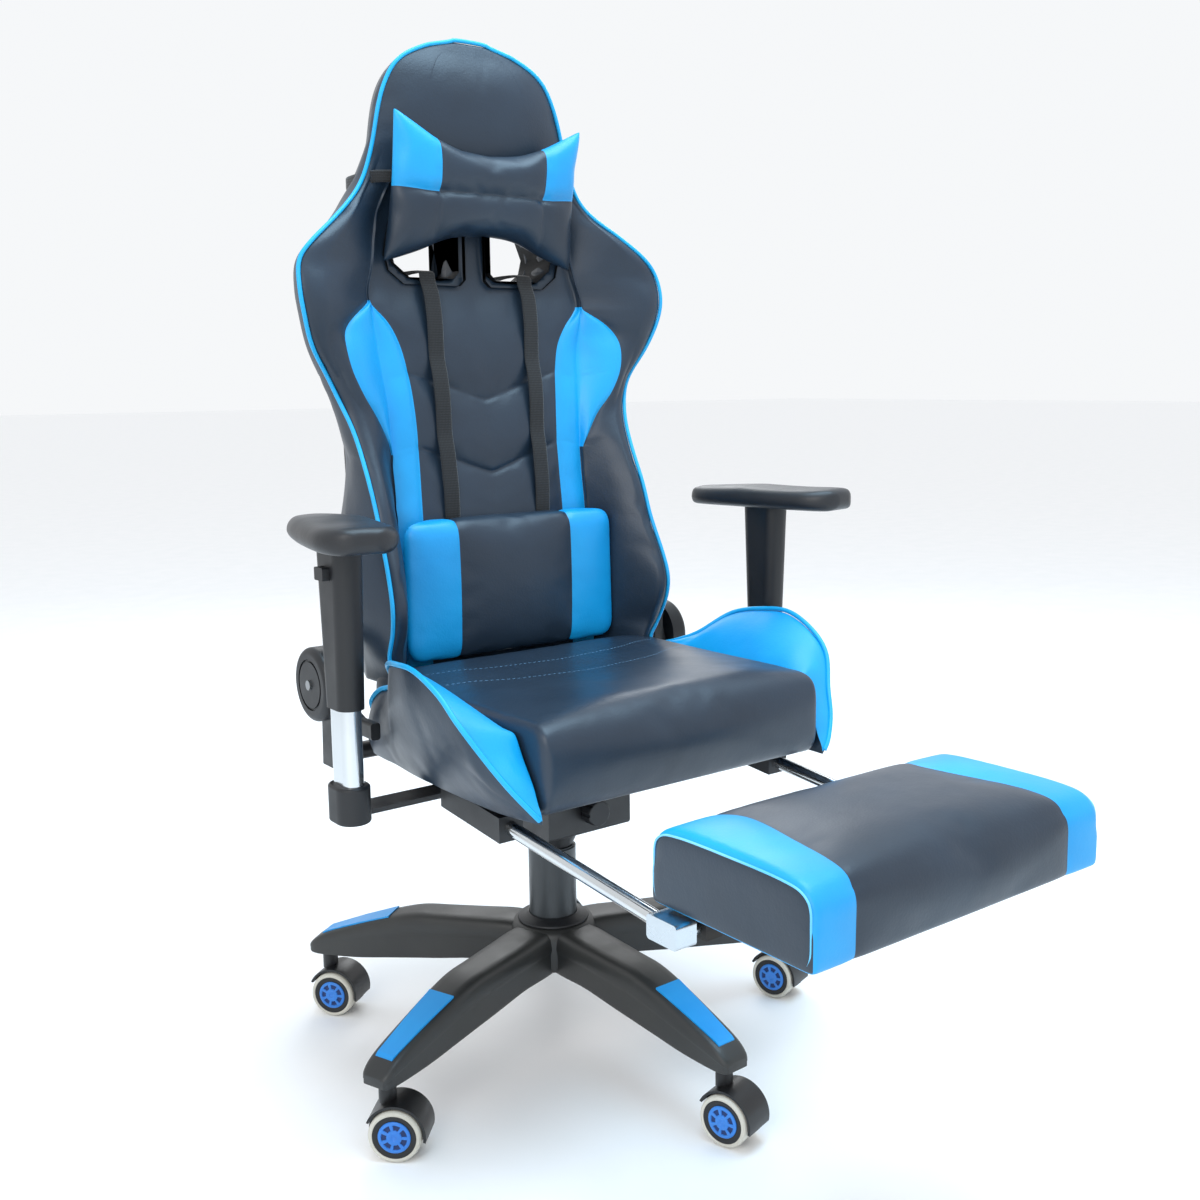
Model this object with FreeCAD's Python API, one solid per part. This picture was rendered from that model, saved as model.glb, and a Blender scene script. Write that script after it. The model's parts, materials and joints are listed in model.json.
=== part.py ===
import FreeCAD, Part
import math
import os

V = FreeCAD.Vector

# A reclining gaming chair with a five-arm base and a pull-out footrest.
# Millimetres. The origin is on the floor under the gas lift, -Y is the front of the
# chair, +X is the sitter's left and +Z is up.

# Fits
contactGap = 0.3          # between upholstered pieces of different bodies
slideFit = 0.05           # radial, on every running shaft
pocketFit = 0.2           # between an insert and its pocket

# Casters
wheelRadius = 30.0
wheelWidth = 18.0
webHalf = 6.0             # half the thickness of the hood's middle web
casterTrail = 12.0        # stem axis to wheel axis
axleRadius = 4.0
stemRadius = 5.5
stemReach = 22.0          # how far the stem goes into the arm
fenderGap = 2.0
fenderWall = 3.0
collarRadius = 10.0
collarHeight = 20.0
casterHeadings = [217.0, 227.0, 196.0, 198.0, 250.0]   # direction that each near cap faces

# Star base
armCount = 5
firstArmAngle = 128.0
armLength = 342.0
tipOverhang = 22.0        # caster stem to the end of the arm
armTipHalf = 21.0
armRootHalf = 31.0
armTipHeight = 14.0
armRise = 71.0            # underside to the top of the arm beside the hub
armWall = 4.5
insertLength = 96.0
insertDepth = 3.0
insertProud = 1.2
hubRadius = 56.0
hubRise = 77.0
hubArch = 20.0            # the hub's underside above the underside of the arm tips

# Gas lift
columnRadius = 25.0
gasRodRadius = 14.0
guideLength = 60.0
liftStroke = 80.0
coverLength = liftStroke + 16.0   # the two covers still overlap when the lift is up
coverRadius = 30.5
coverWall = 1.6
coverGap = 0.6
columnShown = coverLength + 3.0
taperLength = 56.0

# Tilt mechanism
bossTopRadius = 42.0
bossBottomRadius = 27.0
bossHeight = 35.0
housingHalf = 62.0
housingFront = 85.0
housingRear = 78.0
housingHeight = 66.0
housingWall = 4.0
housingTailDrop = 27.0
tiltPivotY = -60.0
tiltPinRadius = 5.0
plateHalf = 118.0
plateLength = 250.0
plateThickness = 5.0
plateLift = 10.0          # housing top to the underside of the plate
springRadius = 12.0
springWire = 2.2
springTurns = 7
knobRadius = 16.0
knobLength = 18.0
leverReach = 235.0
leverRadius = 4.0

# Seat
railWidth = 22.0
railHeight = 30.0
railInset = 37.0          # seat side to the outer face of the rail
railFront = -150.0
seatHalf = 202.0
seatFront = 281.0
seatRear = 88.0
seatDepth = 75.0          # cushion thickness above the frame
seatLip = 24.0            # how far the front of the cushion hangs down
seatRound = 26.0
wingGap = 0.8

# Recliner and back
pivotY = 100.0
pivotDrop = 10.0          # below the top of the seat cushion
pivotRadius = 20.0
recliningPlateX = 34.0    # outside the seat cushion
plateGauge = 4.0
plateSpacing = 1.0
reclinerCoverRadius = 45.0
reclinerCoverDepth = 26.0
frameTube = 11.0
backRearStart = 155.0
backRearSlope = 0.105
shellThickness = 12.0
holeInner = 27.0
holeOuter = 118.0
holeBottom = 490.0        # heights of the back are above the recliner pivot
holeTop = 562.0
holeCorner = 16.0
bezelRim = 12.0
bezelWall = 3.0
bezelThickness = 5.0

# Arms
columnOffset = 109.0      # outside the seat cushion
columnY = -67.0
postHalfX = 12.0
postHalfY = 22.0
postWall = 2.0
postLength = 211.0
socketHalfX = 19.5
socketHalfY = 27.0
socketHeight = 42.0
socketDrop = 2.0          # the socket's underside below the rails
armTravel = 70.0
postShown = armTravel + 15.0
sleeveHalfX = 15.5
sleeveHalfY = 25.5
sleeveTopHalfX = 17.0
sleeveTopHalfY = 33.0
sleeveLength = 178.0
sleeveCap = 12.0
armBarThickness = 6.0
armBarHalf = 18.0
armBarY = -50.0
padShift = 2.0            # pad centre outside the column
padTurn = 12.0            # the front of each pad points outwards
padThickness = 26.0
padFront = 121.0
padRear = 117.0
padHalf = 45.0

# Footrest
footTravel = 200.0
footTubeRadius = 8.0
footTubeWall = 1.5
footTubeInset = 6.0       # inside the edge of the seat cushion
footSlope = math.radians(5.1)
footTubeInnerY = -100.0
footTubeOuterY = -462.0
footTubeZ = 9.0           # below the top of the frame rail, at y = 0 on the tube axis
guideRear = -90.0
guideFront = -212.0
guideHalf = 15.0
footPinRadius = 5.0
footPivotY = -488.0
footHalf = 198.0
footDepth = 210.0
footRearReach = 38.0      # cushion behind the pivot
footThickness = 68.0
boardThickness = 10.0
boardLift = 19.0          # pivot to the underside of the board

# Heights that follow from the sizes above
armUnderside = 2 * wheelRadius + fenderGap + fenderWall + collarHeight
hubBottom = armUnderside + hubArch
hubTop = armUnderside + hubRise
bossBottom = hubTop + columnShown
housingBottom = bossBottom + bossHeight
housingTop = housingBottom + housingHeight
plateBottom = housingTop + plateLift
plateTop = plateBottom + plateThickness
railBottom = plateTop
railTop = railBottom + railHeight
seatBottom = railTop + 20.0
seatTop = seatBottom + seatDepth
pivotZ = seatTop - pivotDrop
railOuter = seatHalf - railInset
railInner = railOuter - railWidth
stemCircle = armLength - tipOverhang
columnX = seatHalf + columnOffset
footTubeX = seatHalf - footTubeInset
backPlateX = seatHalf + recliningPlateX
seatPlateX = backPlateX + plateGauge + plateSpacing
leverPlateX = seatPlateX + plateGauge + plateSpacing
coverX = leverPlateX + plateGauge + plateSpacing


# Helpers

def box(x, y, z):
    """A box from three (low, high) pairs."""
    return Part.makeBox(x[1] - x[0], y[1] - y[0], z[1] - z[0], V(x[0], y[0], z[0]))


def rod(start, direction, radius, length):
    return Part.makeCylinder(radius, length, V(*start), V(*direction))


def pipe(start, direction, outer, inner, length):
    return rod(start, direction, outer, length).cut(rod(start, direction, inner, length))


def place(axis, u, v, w):
    """A point from two coordinates in a plane and one along the plane's axis."""
    return {"x": V(w, u, v), "y": V(u, w, v), "z": V(u, v, w)}[axis]


def prism(axis, points, low, high):
    """A closed outline in the plane across an axis, pushed along that axis."""
    corners = [place(axis, u, v, low) for u, v in points]
    face = Part.Face(Part.makePolygon(corners + corners[:1]))
    return face.extrude(place(axis, 0, 0, high - low))


def ovalWire(centre, halfX, halfY):
    """A horizontal slot outline with its long side along Y."""
    x, y, z = centre
    straight = halfY - halfX
    a, b = V(x + halfX, y - straight, z), V(x + halfX, y + straight, z)
    c, d = V(x - halfX, y + straight, z), V(x - halfX, y - straight, z)
    return Part.Wire([
        Part.LineSegment(a, b).toShape(),
        Part.Arc(b, V(x, y + halfY, z), c).toShape(),
        Part.LineSegment(c, d).toShape(),
        Part.Arc(d, V(x, y - halfY, z), a).toShape(),
    ])


def ovalBar(centre, halfX, halfY, length):
    return Part.Face(ovalWire(centre, halfX, halfY)).extrude(V(0, 0, length))


def loft(sections):
    """A solid through polygons that have the same number of corners."""
    wires = [Part.makePolygon([V(*p) for p in s + s[:1]]) for s in sections]
    return Part.makeLoft(wires, True, True)


def rounded(shape, radius, chosen):
    """Fillets the edges for which chosen(edge) holds."""
    return shape.makeFillet(radius, [e for e in shape.Edges if chosen(e)])


def alongAxis(edge, index):
    if len(edge.Vertexes) != 2:
        return False
    step = edge.Vertexes[1].Point - edge.Vertexes[0].Point
    return abs(step[index]) > 0.999 * step.Length


def fuse(shapes):
    joined = shapes[0]
    for shape in shapes[1:]:
        joined = joined.fuse(shape)
    return joined.removeSplitter()


def cutAll(shape, tools):
    for tool in tools:
        shape = shape.cut(tool)
    return shape


def otherSide(shape):
    """The same piece mirrored to the other side of the chair."""
    return shape.mirror(V(0, 0, 0), V(1, 0, 0))


def bothSides(shape):
    return [shape, otherSide(shape)]


def turned(shape, degrees, centre=(0, 0, 0), axis=(0, 0, 1)):
    copy = shape.copy()
    copy.rotate(V(*centre), V(*axis), degrees)
    return copy


def interpolate(table, at, column):
    """Reads a column of a table that is sorted by its first value."""
    for low, high in zip(table, table[1:]):
        if at <= high[0]:
            share = (at - low[0]) / (high[0] - low[0])
            return low[column] + share * (high[column] - low[column])
    return table[-1][column]


def tubeRun(points, radius):
    """Straight bars from point to point with a ball at each corner."""
    pieces = [Part.makeSphere(radius, V(*points[0]))]
    for a, b in zip(points, points[1:]):
        step = V(*b) - V(*a)
        pieces.append(Part.makeCylinder(radius, step.Length, V(*a), step))
        pieces.append(Part.makeSphere(radius, V(*b)))
    return fuse(pieces)


# Star base

def armOutline(sideInset=0.0, start=0.0, end=None):
    """The plan of one arm along +X."""
    end = armLength if end is None else end
    corner = 8.0

    def halfAt(r):
        share = min(max((r - hubRadius) / (armLength - hubRadius), 0.0), 1.0)
        return armRootHalf + (armTipHalf - armRootHalf) * share - sideInset

    return [(start, -halfAt(start)), (end - corner, -halfAt(end)), (end, corner - halfAt(end)),
            (end, halfAt(end) - corner), (end - corner, halfAt(end)), (start, halfAt(start))]


def armProfile(lift=0.0, drop=0.0):
    """The side view of one arm along +X, from the hub out to the tip."""
    bottom = armUnderside + drop
    top = [(armLength + lift, armUnderside + armTipHeight + lift),
           (stemCircle, armUnderside + 30 + lift),
           (stemCircle - insertLength * 0.5, armUnderside + 47 + lift),
           (stemCircle - insertLength, armUnderside + 62 + lift),
           (hubRadius + 130, armUnderside + armRise + lift),
           (0, armUnderside + armRise + 4 + lift)]
    return [(0, bottom + hubArch), (hubRadius + 40, bottom + hubArch),
            (armLength * 0.72, bottom + hubArch * 0.25), (armLength * 0.85, bottom),
            (armLength + lift, bottom)] + top


def armBody():
    flat = prism("z", armOutline(), armUnderside - 1, hubTop)
    side = prism("y", armProfile(), -armRootHalf - 1, armRootHalf + 1)
    arm = flat.common(side)
    return cutAll(arm, armPockets() + [insertPocket(), stemBore()])


def armPockets():
    """The hollows between the ribs on the underside."""
    rib = 5.0
    roof = prism("y", armProfile(lift=-armWall, drop=-2 * hubArch), -armRootHalf, armRootHalf)
    inner = prism("z", armOutline(sideInset=armWall), armUnderside - 1, hubTop)
    hollow = roof.common(inner)
    first, last = hubRadius + 6, stemCircle - collarRadius - rib
    count = 4
    pitch = (last - first) / count
    return [hollow.common(box((first + i * pitch + rib / 2, first + (i + 1) * pitch - rib / 2),
                              (-armRootHalf, armRootHalf), (0, hubTop))) for i in range(count)]


def insertShape(clearance):
    """The coloured pad let into the outer half of the arm's top."""
    above = armProfile(lift=insertProud)
    below = armProfile(lift=-insertDepth)
    band = prism("y", above, -armRootHalf, armRootHalf).cut(
        prism("y", below, -armRootHalf, armRootHalf))
    inner, outer = stemCircle - insertLength, stemCircle + 4
    wide, narrow = armRootHalf - 13, armTipHalf - 9
    plan = prism("z", [(inner - clearance, -wide - clearance), (outer + clearance, -narrow - clearance),
                       (outer + clearance, narrow + clearance), (inner - clearance, wide + clearance)],
                 armUnderside + armTipHeight + 2, hubTop + 5)
    return band.common(plan)


def insertPocket():
    return insertShape(pocketFit)


def stemBore():
    return rod((stemCircle, 0, armUnderside - 1), (0, 0, 1), stemRadius + slideFit, stemReach + 2)


def makeBase():
    hub = rod((0, 0, hubBottom), (0, 0, 1), hubRadius, hubTop - hubBottom)
    hub = rounded(hub, 5, lambda e: e.Curve.TypeId == "Part::GeomCircle")
    arms = [turned(armBody(), firstArmAngle + i * 360 / armCount) for i in range(armCount)]
    base = fuse([hub] + arms)
    return base.cut(rod((0, 0, hubBottom - 1), (0, 0, 1), columnRadius, hubTop - hubBottom + 2))


def makeInserts():
    pad = insertShape(0.0)
    return Part.makeCompound([turned(pad, firstArmAngle + i * 360 / armCount)
                              for i in range(armCount)])


# Casters: each is made at the origin with its stem on the Z axis and its wheels along Y

def casterHood():
    centre = (casterTrail, 0, wheelRadius)
    inner = wheelRadius + fenderGap
    outer = inner + fenderWall
    half = webHalf + wheelWidth - 3
    fender = rod((casterTrail, -half, wheelRadius), (0, 1, 0), outer, 2 * half)
    fender = fender.cut(rod((casterTrail, -half, wheelRadius), (0, 1, 0), inner, 2 * half))
    keep = box((casterTrail - outer, casterTrail + outer), (-half, half),
               (wheelRadius + 4, 2 * wheelRadius + 20))
    fender = fender.common(turned(keep, 18, centre, (0, 1, 0)))
    web = rod((casterTrail, -webHalf, wheelRadius), (0, 1, 0), inner + 1, 2 * webHalf)
    web = web.common(box((casterTrail - outer, casterTrail + outer), (-half, half),
                         (wheelRadius - 11, 3 * wheelRadius)))
    collarBottom = 2 * wheelRadius + 1
    collar = rod((0, 0, collarBottom), (0, 0, 1), collarRadius, armUnderside - collarBottom - 2)
    hood = fuse([fender, web, collar])
    clear = webHalf + 0.01
    sides = [box((-80, 80), (s * clear, s * 60) if s > 0 else (s * 60, s * clear), (0, 200))
             for s in (1, -1)]
    wheelRoom = rod((casterTrail, -60, wheelRadius), (0, 1, 0), inner - 0.01, 120)
    hood = cutAll(hood, [wheelRoom.common(side) for side in sides])
    return hood.cut(casterPins())


def casterPins():
    half = webHalf + wheelWidth - 2
    axle = rod((casterTrail, -half, wheelRadius), (0, 1, 0), axleRadius, 2 * half)
    stemBottom = wheelRadius + axleRadius + 8
    stem = rod((0, 0, stemBottom), (0, 0, 1), stemRadius, armUnderside + stemReach - 2 - stemBottom)
    return Part.makeCompound([axle, stem])


def casterWheels():
    near = webHalf + 0.5
    spokes = 6
    wheel = rod((casterTrail, near, wheelRadius), (0, 1, 0), wheelRadius, wheelWidth)
    wheel = rounded(wheel, 3.5, lambda e: e.Curve.TypeId == "Part::GeomCircle")
    dish = rod((casterTrail, near + wheelWidth - 3, wheelRadius), (0, 1, 0), wheelRadius * 0.74, 4)
    spoke = rod((casterTrail + wheelRadius * 0.46, near + wheelWidth - 5, wheelRadius), (0, 1, 0),
                wheelRadius * 0.14, 6)
    holes = [turned(spoke, i * 360 / spokes, (casterTrail, 0, wheelRadius), (0, 1, 0))
             for i in range(spokes)]
    bore = rod((casterTrail, near - 1, wheelRadius), (0, 1, 0), axleRadius + slideFit, wheelWidth - 2)
    wheel = cutAll(wheel, [dish] + holes + [bore])
    return Part.makeCompound([wheel, wheel.mirror(V(0, 0, 0), V(0, 1, 0))])


def placeCaster(shape, index):
    """Turns a caster to its heading and moves it under the tip of its arm."""
    copy = turned(shape, casterHeadings[index] + 90)
    angle = math.radians(firstArmAngle + index * 360 / armCount)
    copy.translate(V(stemCircle * math.cos(angle), stemCircle * math.sin(angle), 0))
    return copy


# Gas lift

def makeColumn():
    top = bossBottom - 12
    bottom = hubBottom + 2
    body = rod((0, 0, bottom), (0, 0, 1), columnRadius, top - bottom)
    guide = rod((0, 0, bottom), (0, 0, 1), gasRodRadius + slideFit, top - bottom + 1)
    chamber = rod((0, 0, bottom + 8), (0, 0, 1), columnRadius - 3, top - guideLength - bottom - 8)
    return cutAll(body, [guide, chamber])


def makeGasRod():
    bottom = hubBottom + 12
    taperTop = bossBottom + taperLength
    lower = rod((0, 0, bottom), (0, 0, 1), gasRodRadius, taperTop - bottom)
    button = rod((0, 0, taperTop), (0, 0, 1), 5, 5)
    return fuse([lower, button])


def makeLowerCover():
    return pipe((0, 0, hubTop), (0, 0, 1), coverRadius, coverRadius - coverWall, coverLength)


def makeUpperCover():
    outer = coverRadius - coverWall - coverGap
    return pipe((0, 0, hubTop + 2), (0, 0, 1), outer, outer - coverWall, coverLength)


# Tilt mechanism

def housingProfile(inset=0.0):
    """Side view of the housing as (y, z): the top falls away behind the tilt pivot."""
    return [(-housingFront + inset, housingBottom + inset),
            (-housingFront + inset, housingTop - inset),
            (tiltPivotY + 20, housingTop - inset),
            (housingRear - inset, housingTop - housingTailDrop - inset),
            (housingRear - inset, housingBottom + inset)]


def makeHousing():
    shell = prism("x", housingProfile(), -housingHalf, housingHalf)
    shell = rounded(shell, 6, lambda e: alongAxis(e, 0))
    inside = prism("x", housingProfile(housingWall), housingWall - housingHalf,
                   housingHalf - housingWall)
    boss = Part.makeCone(bossBottomRadius, bossTopRadius, bossHeight, V(0, 0, bossBottom))
    socket = rod((0, 0, housingBottom), (0, 0, 1), gasRodRadius + 8, taperLength - bossHeight)
    tools = [rod((0, 0, bossBottom - 1), (0, 0, 1), gasRodRadius, taperLength + 1),
             screwRoom(), leverRoom(), pinRoom()]
    return cutAll(fuse([shell.cut(inside), boss, socket]), tools)


def knobZ():
    return housingBottom + 30


def screwRoom():
    """The knob's screw passes through the housing's front wall."""
    return rod((0, -housingFront - 1, knobZ()), (0, 1, 0), 6, housingWall + 3)


def leverRoom():
    return rod((housingHalf - housingWall - 1, leverY(), leverZ()), (1, 0, 0),
               leverRadius + 4, housingWall + 3)


def pinRoom():
    return rod((-plateHalf, tiltPivotY, tiltPivotZ()), (1, 0, 0), tiltPinRadius + slideFit,
               2 * plateHalf)


def tiltPivotZ():
    return housingTop - 16


def leverY():
    return 30.0


def leverZ():
    return housingBottom + 22


def makeSpring():
    """A coil spring that lies front to back behind the tension knob."""
    length = 44.0
    helix = Part.makeHelix(length / springTurns, length, springRadius)
    profile = Part.Wire([Part.makeCircle(springWire, V(springRadius, 0, 0), V(0, 1, 0))])
    coil = Part.Wire(helix.Edges).makePipeShell([profile], True, True)
    coil.rotate(V(0, 0, 0), V(1, 0, 0), -90)
    coil.translate(V(0, -housingFront + housingWall + 5, knobZ()))
    return coil


def makeKnob():
    """The tension knob with its screw, which runs inside the spring."""
    start = -housingFront - 2
    grip = rod((0, start, knobZ()), (0, -1, 0), knobRadius, knobLength)
    grip = rounded(grip, 2, lambda e: e.Curve.TypeId == "Part::GeomCircle")
    flute = rod((knobRadius + 1.5, start + 1, knobZ()), (0, -1, 0), 3, knobLength + 2)
    count = 8
    flutes = [turned(flute, i * 360 / count, (0, 0, knobZ()), (0, 1, 0)) for i in range(count)]
    screw = rod((0, start - 1, knobZ()), (0, 1, 0), 5, 50)
    return fuse([cutAll(grip, flutes), screw])


def makeHeightLever():
    """The lever that opens the gas lift, on the sitter's left."""
    inner = housingHalf - housingWall - 6
    bar = rod((inner, leverY(), leverZ()), (1, 0, 0), leverRadius, leverReach - 40 - inner)
    grip = box((leverReach - 60, leverReach), (leverY() - 12, leverY() + 12),
               (leverZ() - 5, leverZ() + 5))
    grip = rounded(grip, 4, lambda e: alongAxis(e, 0))
    return fuse([bar, grip])


def makeTiltPlate():
    """The top plate with two cheeks that hang beside the housing on the tilt pin."""
    plate = box((-plateHalf, plateHalf), (-plateLength / 2, plateLength / 2),
                (plateBottom, plateTop))
    cheekX = housingHalf + 1
    cheek = box((cheekX, cheekX + 4), (tiltPivotY - 22, tiltPivotY + 40),
                (tiltPivotZ() - 12, plateBottom))
    pin = rod((-cheekX - 4, tiltPivotY, tiltPivotZ()), (1, 0, 0), tiltPinRadius, 2 * cheekX + 8)
    return fuse([plate] + bothSides(cheek) + [pin])


# Seat

def makeSeatFrame():
    front, rear = railFront, reclinerFootRear()
    side = box((railInner, railOuter), (front, rear), (railBottom, railTop))
    side = rounded(side, 3, lambda e: alongAxis(e, 1))
    weld = railInner + 5
    across = [box((-weld, weld), (y, y + railWidth), (railBottom + 1, railTop - 1))
              for y in (-plateLength / 2, plateLength / 2 - railWidth, front + 1)]
    riser = box((railInner + 5, railOuter - 5), (front + 15, 75), (railTop - 1, seatBottom))
    return fuse(bothSides(side) + across + bothSides(riser)).cut(crossTube())


def reclinerFootRear():
    return pivotY + 42


def makeSeatCushion():
    lip = seatBottom - seatLip
    profile = [(-seatFront, lip + 4), (-seatFront + 6, seatTop), (seatRear, seatTop - 1),
               (seatRear, seatBottom), (-seatFront + 72, seatBottom), (-seatFront + 66, lip),
               (-seatFront + 8, lip)]
    cushion = prism("x", profile, -seatHalf, seatHalf)

    def frontTop(edge):
        middle = edge.BoundBox.Center
        return alongAxis(edge, 0) and middle.z > seatTop - 5 and middle.y < 0

    cushion = rounded(cushion, seatRound, frontTop)
    return cushion


def tubeRoom(low):
    """The notch under a wing where the footrest's guide and tube pass."""
    top = onFootTube(footTubeInnerY + footTravel) + footTubeRadius + 2
    return box((seatHalf - 1, footTubeX + guideHalf + 1), (guideFront - 4, 100), (low - 1, top))


def makeWing():
    """The bolster beside the seat, on the sitter's left. Each row: y, edge x, edge z, belly x."""
    inner = seatHalf + wingGap
    low = seatBottom - seatLip
    rows = [(-276, 5, 6, 3), (-262, 36, 34, 22), (-245, 51, 63, 34), (-225, 63, 101, 44),
            (-197, 68, 126, 50), (-154, 71, 144, 54), (-112, 68, 144, 54), (-60, 54, 134, 48),
            (-22, 24, 106, 34), (40, 16, 84, 26), (70, 12, 62, 20)]
    sections = []
    for y, edge, rise, belly in rows:
        top = low + rise
        shoulder = min(top - 1, seatTop - 8) if rise > 30 else low + rise * 0.8
        sections.append([(inner, y, low), (inner + belly * 0.35, y, low),
                         (seatHalf + belly, y, low + rise * 0.45), (seatHalf + edge, y, top),
                         (seatHalf + edge * 0.9 - 0.5, y, top + 0.5),
                         (inner, y, shoulder)])
    return loft(sections).cut(tubeRoom(low))


# Recliner

def crossTube():
    """The tube through the rear of both rails that carries the recliner plates."""
    return rod((-seatPlateX - 1, reclinerFootRear() - 14, railBottom + 15), (1, 0, 0), 11,
               2 * seatPlateX + 2)


def makeReclinerPlates():
    """Seat-side plates with the round recliner unit, joined by the cross tube."""
    low = railBottom + 3
    outline = [(pivotY + 2, low), (reclinerFootRear(), low), (pivotY + 38, pivotZ - 20),
               (pivotY + 26, pivotZ + 26), (pivotY - 26, pivotZ + 26), (pivotY - 36, pivotZ - 14)]
    plate = prism("x", outline, seatPlateX, seatPlateX + plateGauge)
    plate = plate.fuse(rod((backPlateX - 1, pivotY, pivotZ), (1, 0, 0), pivotRadius,
                           coverX - backPlateX + 1))
    return fuse(bothSides(plate) + [crossTube()])


def makeReclinerCover():
    disc = rod((coverX, pivotY, pivotZ), (1, 0, 0), reclinerCoverRadius, reclinerCoverDepth)

    def outerRim(edge):
        return edge.Curve.TypeId == "Part::GeomCircle" and edge.BoundBox.Center.x > coverX + 5

    disc = rounded(disc, 8, outerRim)
    groove = pipe((coverX + reclinerCoverDepth - 2, pivotY, pivotZ), (1, 0, 0),
                  reclinerCoverRadius - 14, reclinerCoverRadius - 17, 4)
    return disc.cut(groove)


def makeReclineLever():
    """On the sitter's right: a ring on the recliner hub with an arm that reaches forward."""
    x = (-leverPlateX - plateGauge, -leverPlateX)
    ring = rod((x[0], pivotY, pivotZ), (1, 0, 0), pivotRadius + 9, plateGauge)
    arm = prism("x", [(pivotY - 10, pivotZ - 27), (pivotY - 22, pivotZ - 8),
                      (pivotY - 86, pivotZ - 30), (pivotY - 90, pivotZ - 42)], x[0], x[1])
    grip = box((x[0] - 7, x[1] + 1), (pivotY - 116, pivotY - 78), (pivotZ - 48, pivotZ - 28))
    grip = rounded(grip, 3.5, lambda e: alongAxis(e, 1))
    bore = rod((x[0] - 1, pivotY, pivotZ), (1, 0, 0), pivotRadius + slideFit, plateGauge + 2)
    return fuse([ring, arm, grip]).cut(bore)


# Back. Each row: height above the pivot, piping half width, piping y, side half width,
# inner seam x and the y of the middle of the front face.

backRows = [
    (12, 196, 40, 200, 140, 97),
    (32, 205, 33, 206, 142, 97),
    (61, 206, 19, 226, 144, 100),
    (92, 207, 15, 233, 145, 104),
    (139, 206, 27, 234, 145, 111),
    (195, 202, 46, 212, 145, 116),
    (262, 202, 86, 198, 144, 122),
    (299, 205, 104, 202, 143, 126),
    (335, 215, 119, 210, 144, 131),
    (361, 226, 122, 222, 148, 135),
    (397, 248, 113, 240, 152, 141),
    (434, 261, 102, 248, 156, 146),
    (464, 266, 100, 252, 150, 155),
    (496, 262, 106, 250, 142, 160),
    (517, 245, 107, 236, 138, 163),
    (544, 212, 118, 206, 136, 163),
    (574, 176, 139, 172, 120, 160),
    (597, 158, 146, 156, 110, 153),
    (640, 143, 148, 142, 90, 145),
    (688, 131, 149, 131, 80, 140),
    (716, 121, 147, 121, 72, 140),
    (739, 107, 147, 107, 62, 142),
    (757, 88, 149, 88, 50, 146),
    (770, 58, 151, 58, 34, 149),
    (777, 24, 153, 24, 12, 152),
]


def rearY(height):
    """The rear face of the foam, which leans back with the chair."""
    return backRearStart + (height - 18) * backRearSlope


def backSection(row):
    height, edge, edgeY, side, seam, middleY = row
    z = pivotZ + height
    rear = rearY(height)
    sideY = (edgeY + rear) / 2 + 10
    crest = seam + 0.72 * (edge - seam)
    half = [(0, middleY), (seam, middleY - 2), (crest, edgeY - 4), (edge, edgeY),
            (side, sideY), (side * 0.9, rear)]
    left = [(x, y, z) for x, y in half] + [(0, rear, z)]
    right = [(-x, y, z) for x, y in half[:0:-1]]
    return left + right


def holeOutline(grow):
    """One harness opening as (x, height) with its lower outer corner cut away."""
    inner, outer = holeInner - grow, holeOuter + grow
    low, high = holeBottom - grow, holeTop + grow
    c = holeCorner
    return [(inner + c * 0.5, low), (outer - c * 1.6, low), (outer - c * 0.3, low + c),
            (outer, low + c * 2.2), (outer, high - c), (outer - c, high), (inner + c * 0.5, high),
            (inner, high - c * 0.5), (inner, low + c * 0.5)]


def holePrism(grow, front, rear):
    points = [(x, pivotZ + h) for x, h in holeOutline(grow)]
    return prism("y", points, front, rear)


def makeBackFrame(grow=0.0):
    """Steel tube hoop in the foam, with a bracket down to the recliner on each side."""
    radius = frameTube + grow

    def tubePoint(x, height):
        return (x, rearY(height) - frameTube - 7, pivotZ + height)

    side = [tubePoint(182, 45), tubePoint(176, 300), tubePoint(206, 440), tubePoint(196, 500),
            tubePoint(110, 622), tubePoint(90, 700), tubePoint(-90, 700)]
    mirroredSide = [(-x, y, z) for x, y, z in side[:-1]]
    bars = [tubeRun([tubePoint(-x, h), tubePoint(x, h)], radius) for x, h in ((182, 45), (204, 430))]
    lower = box((backPlateX - grow, backPlateX + plateGauge + grow), (pivotY - 34 - grow, pivotY + 36 + grow),
                (pivotZ - 36 - grow, pivotZ + 50 + grow))
    step = box((182 - grow, backPlateX + plateGauge + grow), (pivotY - 14 - grow, pivotY + 36 + grow),
               (pivotZ + 46 - grow, pivotZ + 50 + grow))
    upper = box((182 - grow, 186 + grow), (pivotY - 14 - grow, pivotY + 50 + grow),
                (pivotZ + 46 - grow, pivotZ + 150 + grow))
    bracket = fuse([lower, step, upper])
    if grow == 0.0:
        bracket = bracket.cut(rod((backPlateX - 2, pivotY, pivotZ), (1, 0, 0),
                                  pivotRadius + slideFit, plateGauge + 4))
    return fuse([tubeRun(side, radius), tubeRun(mirroredSide, radius)] + bars + bothSides(bracket))


def makeBackCushion():
    foam = loft([backSection(row) for row in backRows])
    holes = bothSides(holePrism(bezelWall + contactGap, 0, 400))
    return cutAll(foam, holes + [makeBackFrame(contactGap)])


def makeBackShell():
    """The padded rear cover behind the foam."""
    sections = []
    for row in backRows[1:-2]:
        height, side = row[0], row[3]
        z, rear, half = pivotZ + height, rearY(height), side * 0.9 - 4
        sections.append([(-half, rear, z), (half, rear, z),
                         (half - 14, rear + shellThickness, z), (14 - half, rear + shellThickness, z)])
    return cutAll(loft(sections), bothSides(holePrism(bezelWall + contactGap, 0, 400)))


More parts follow.
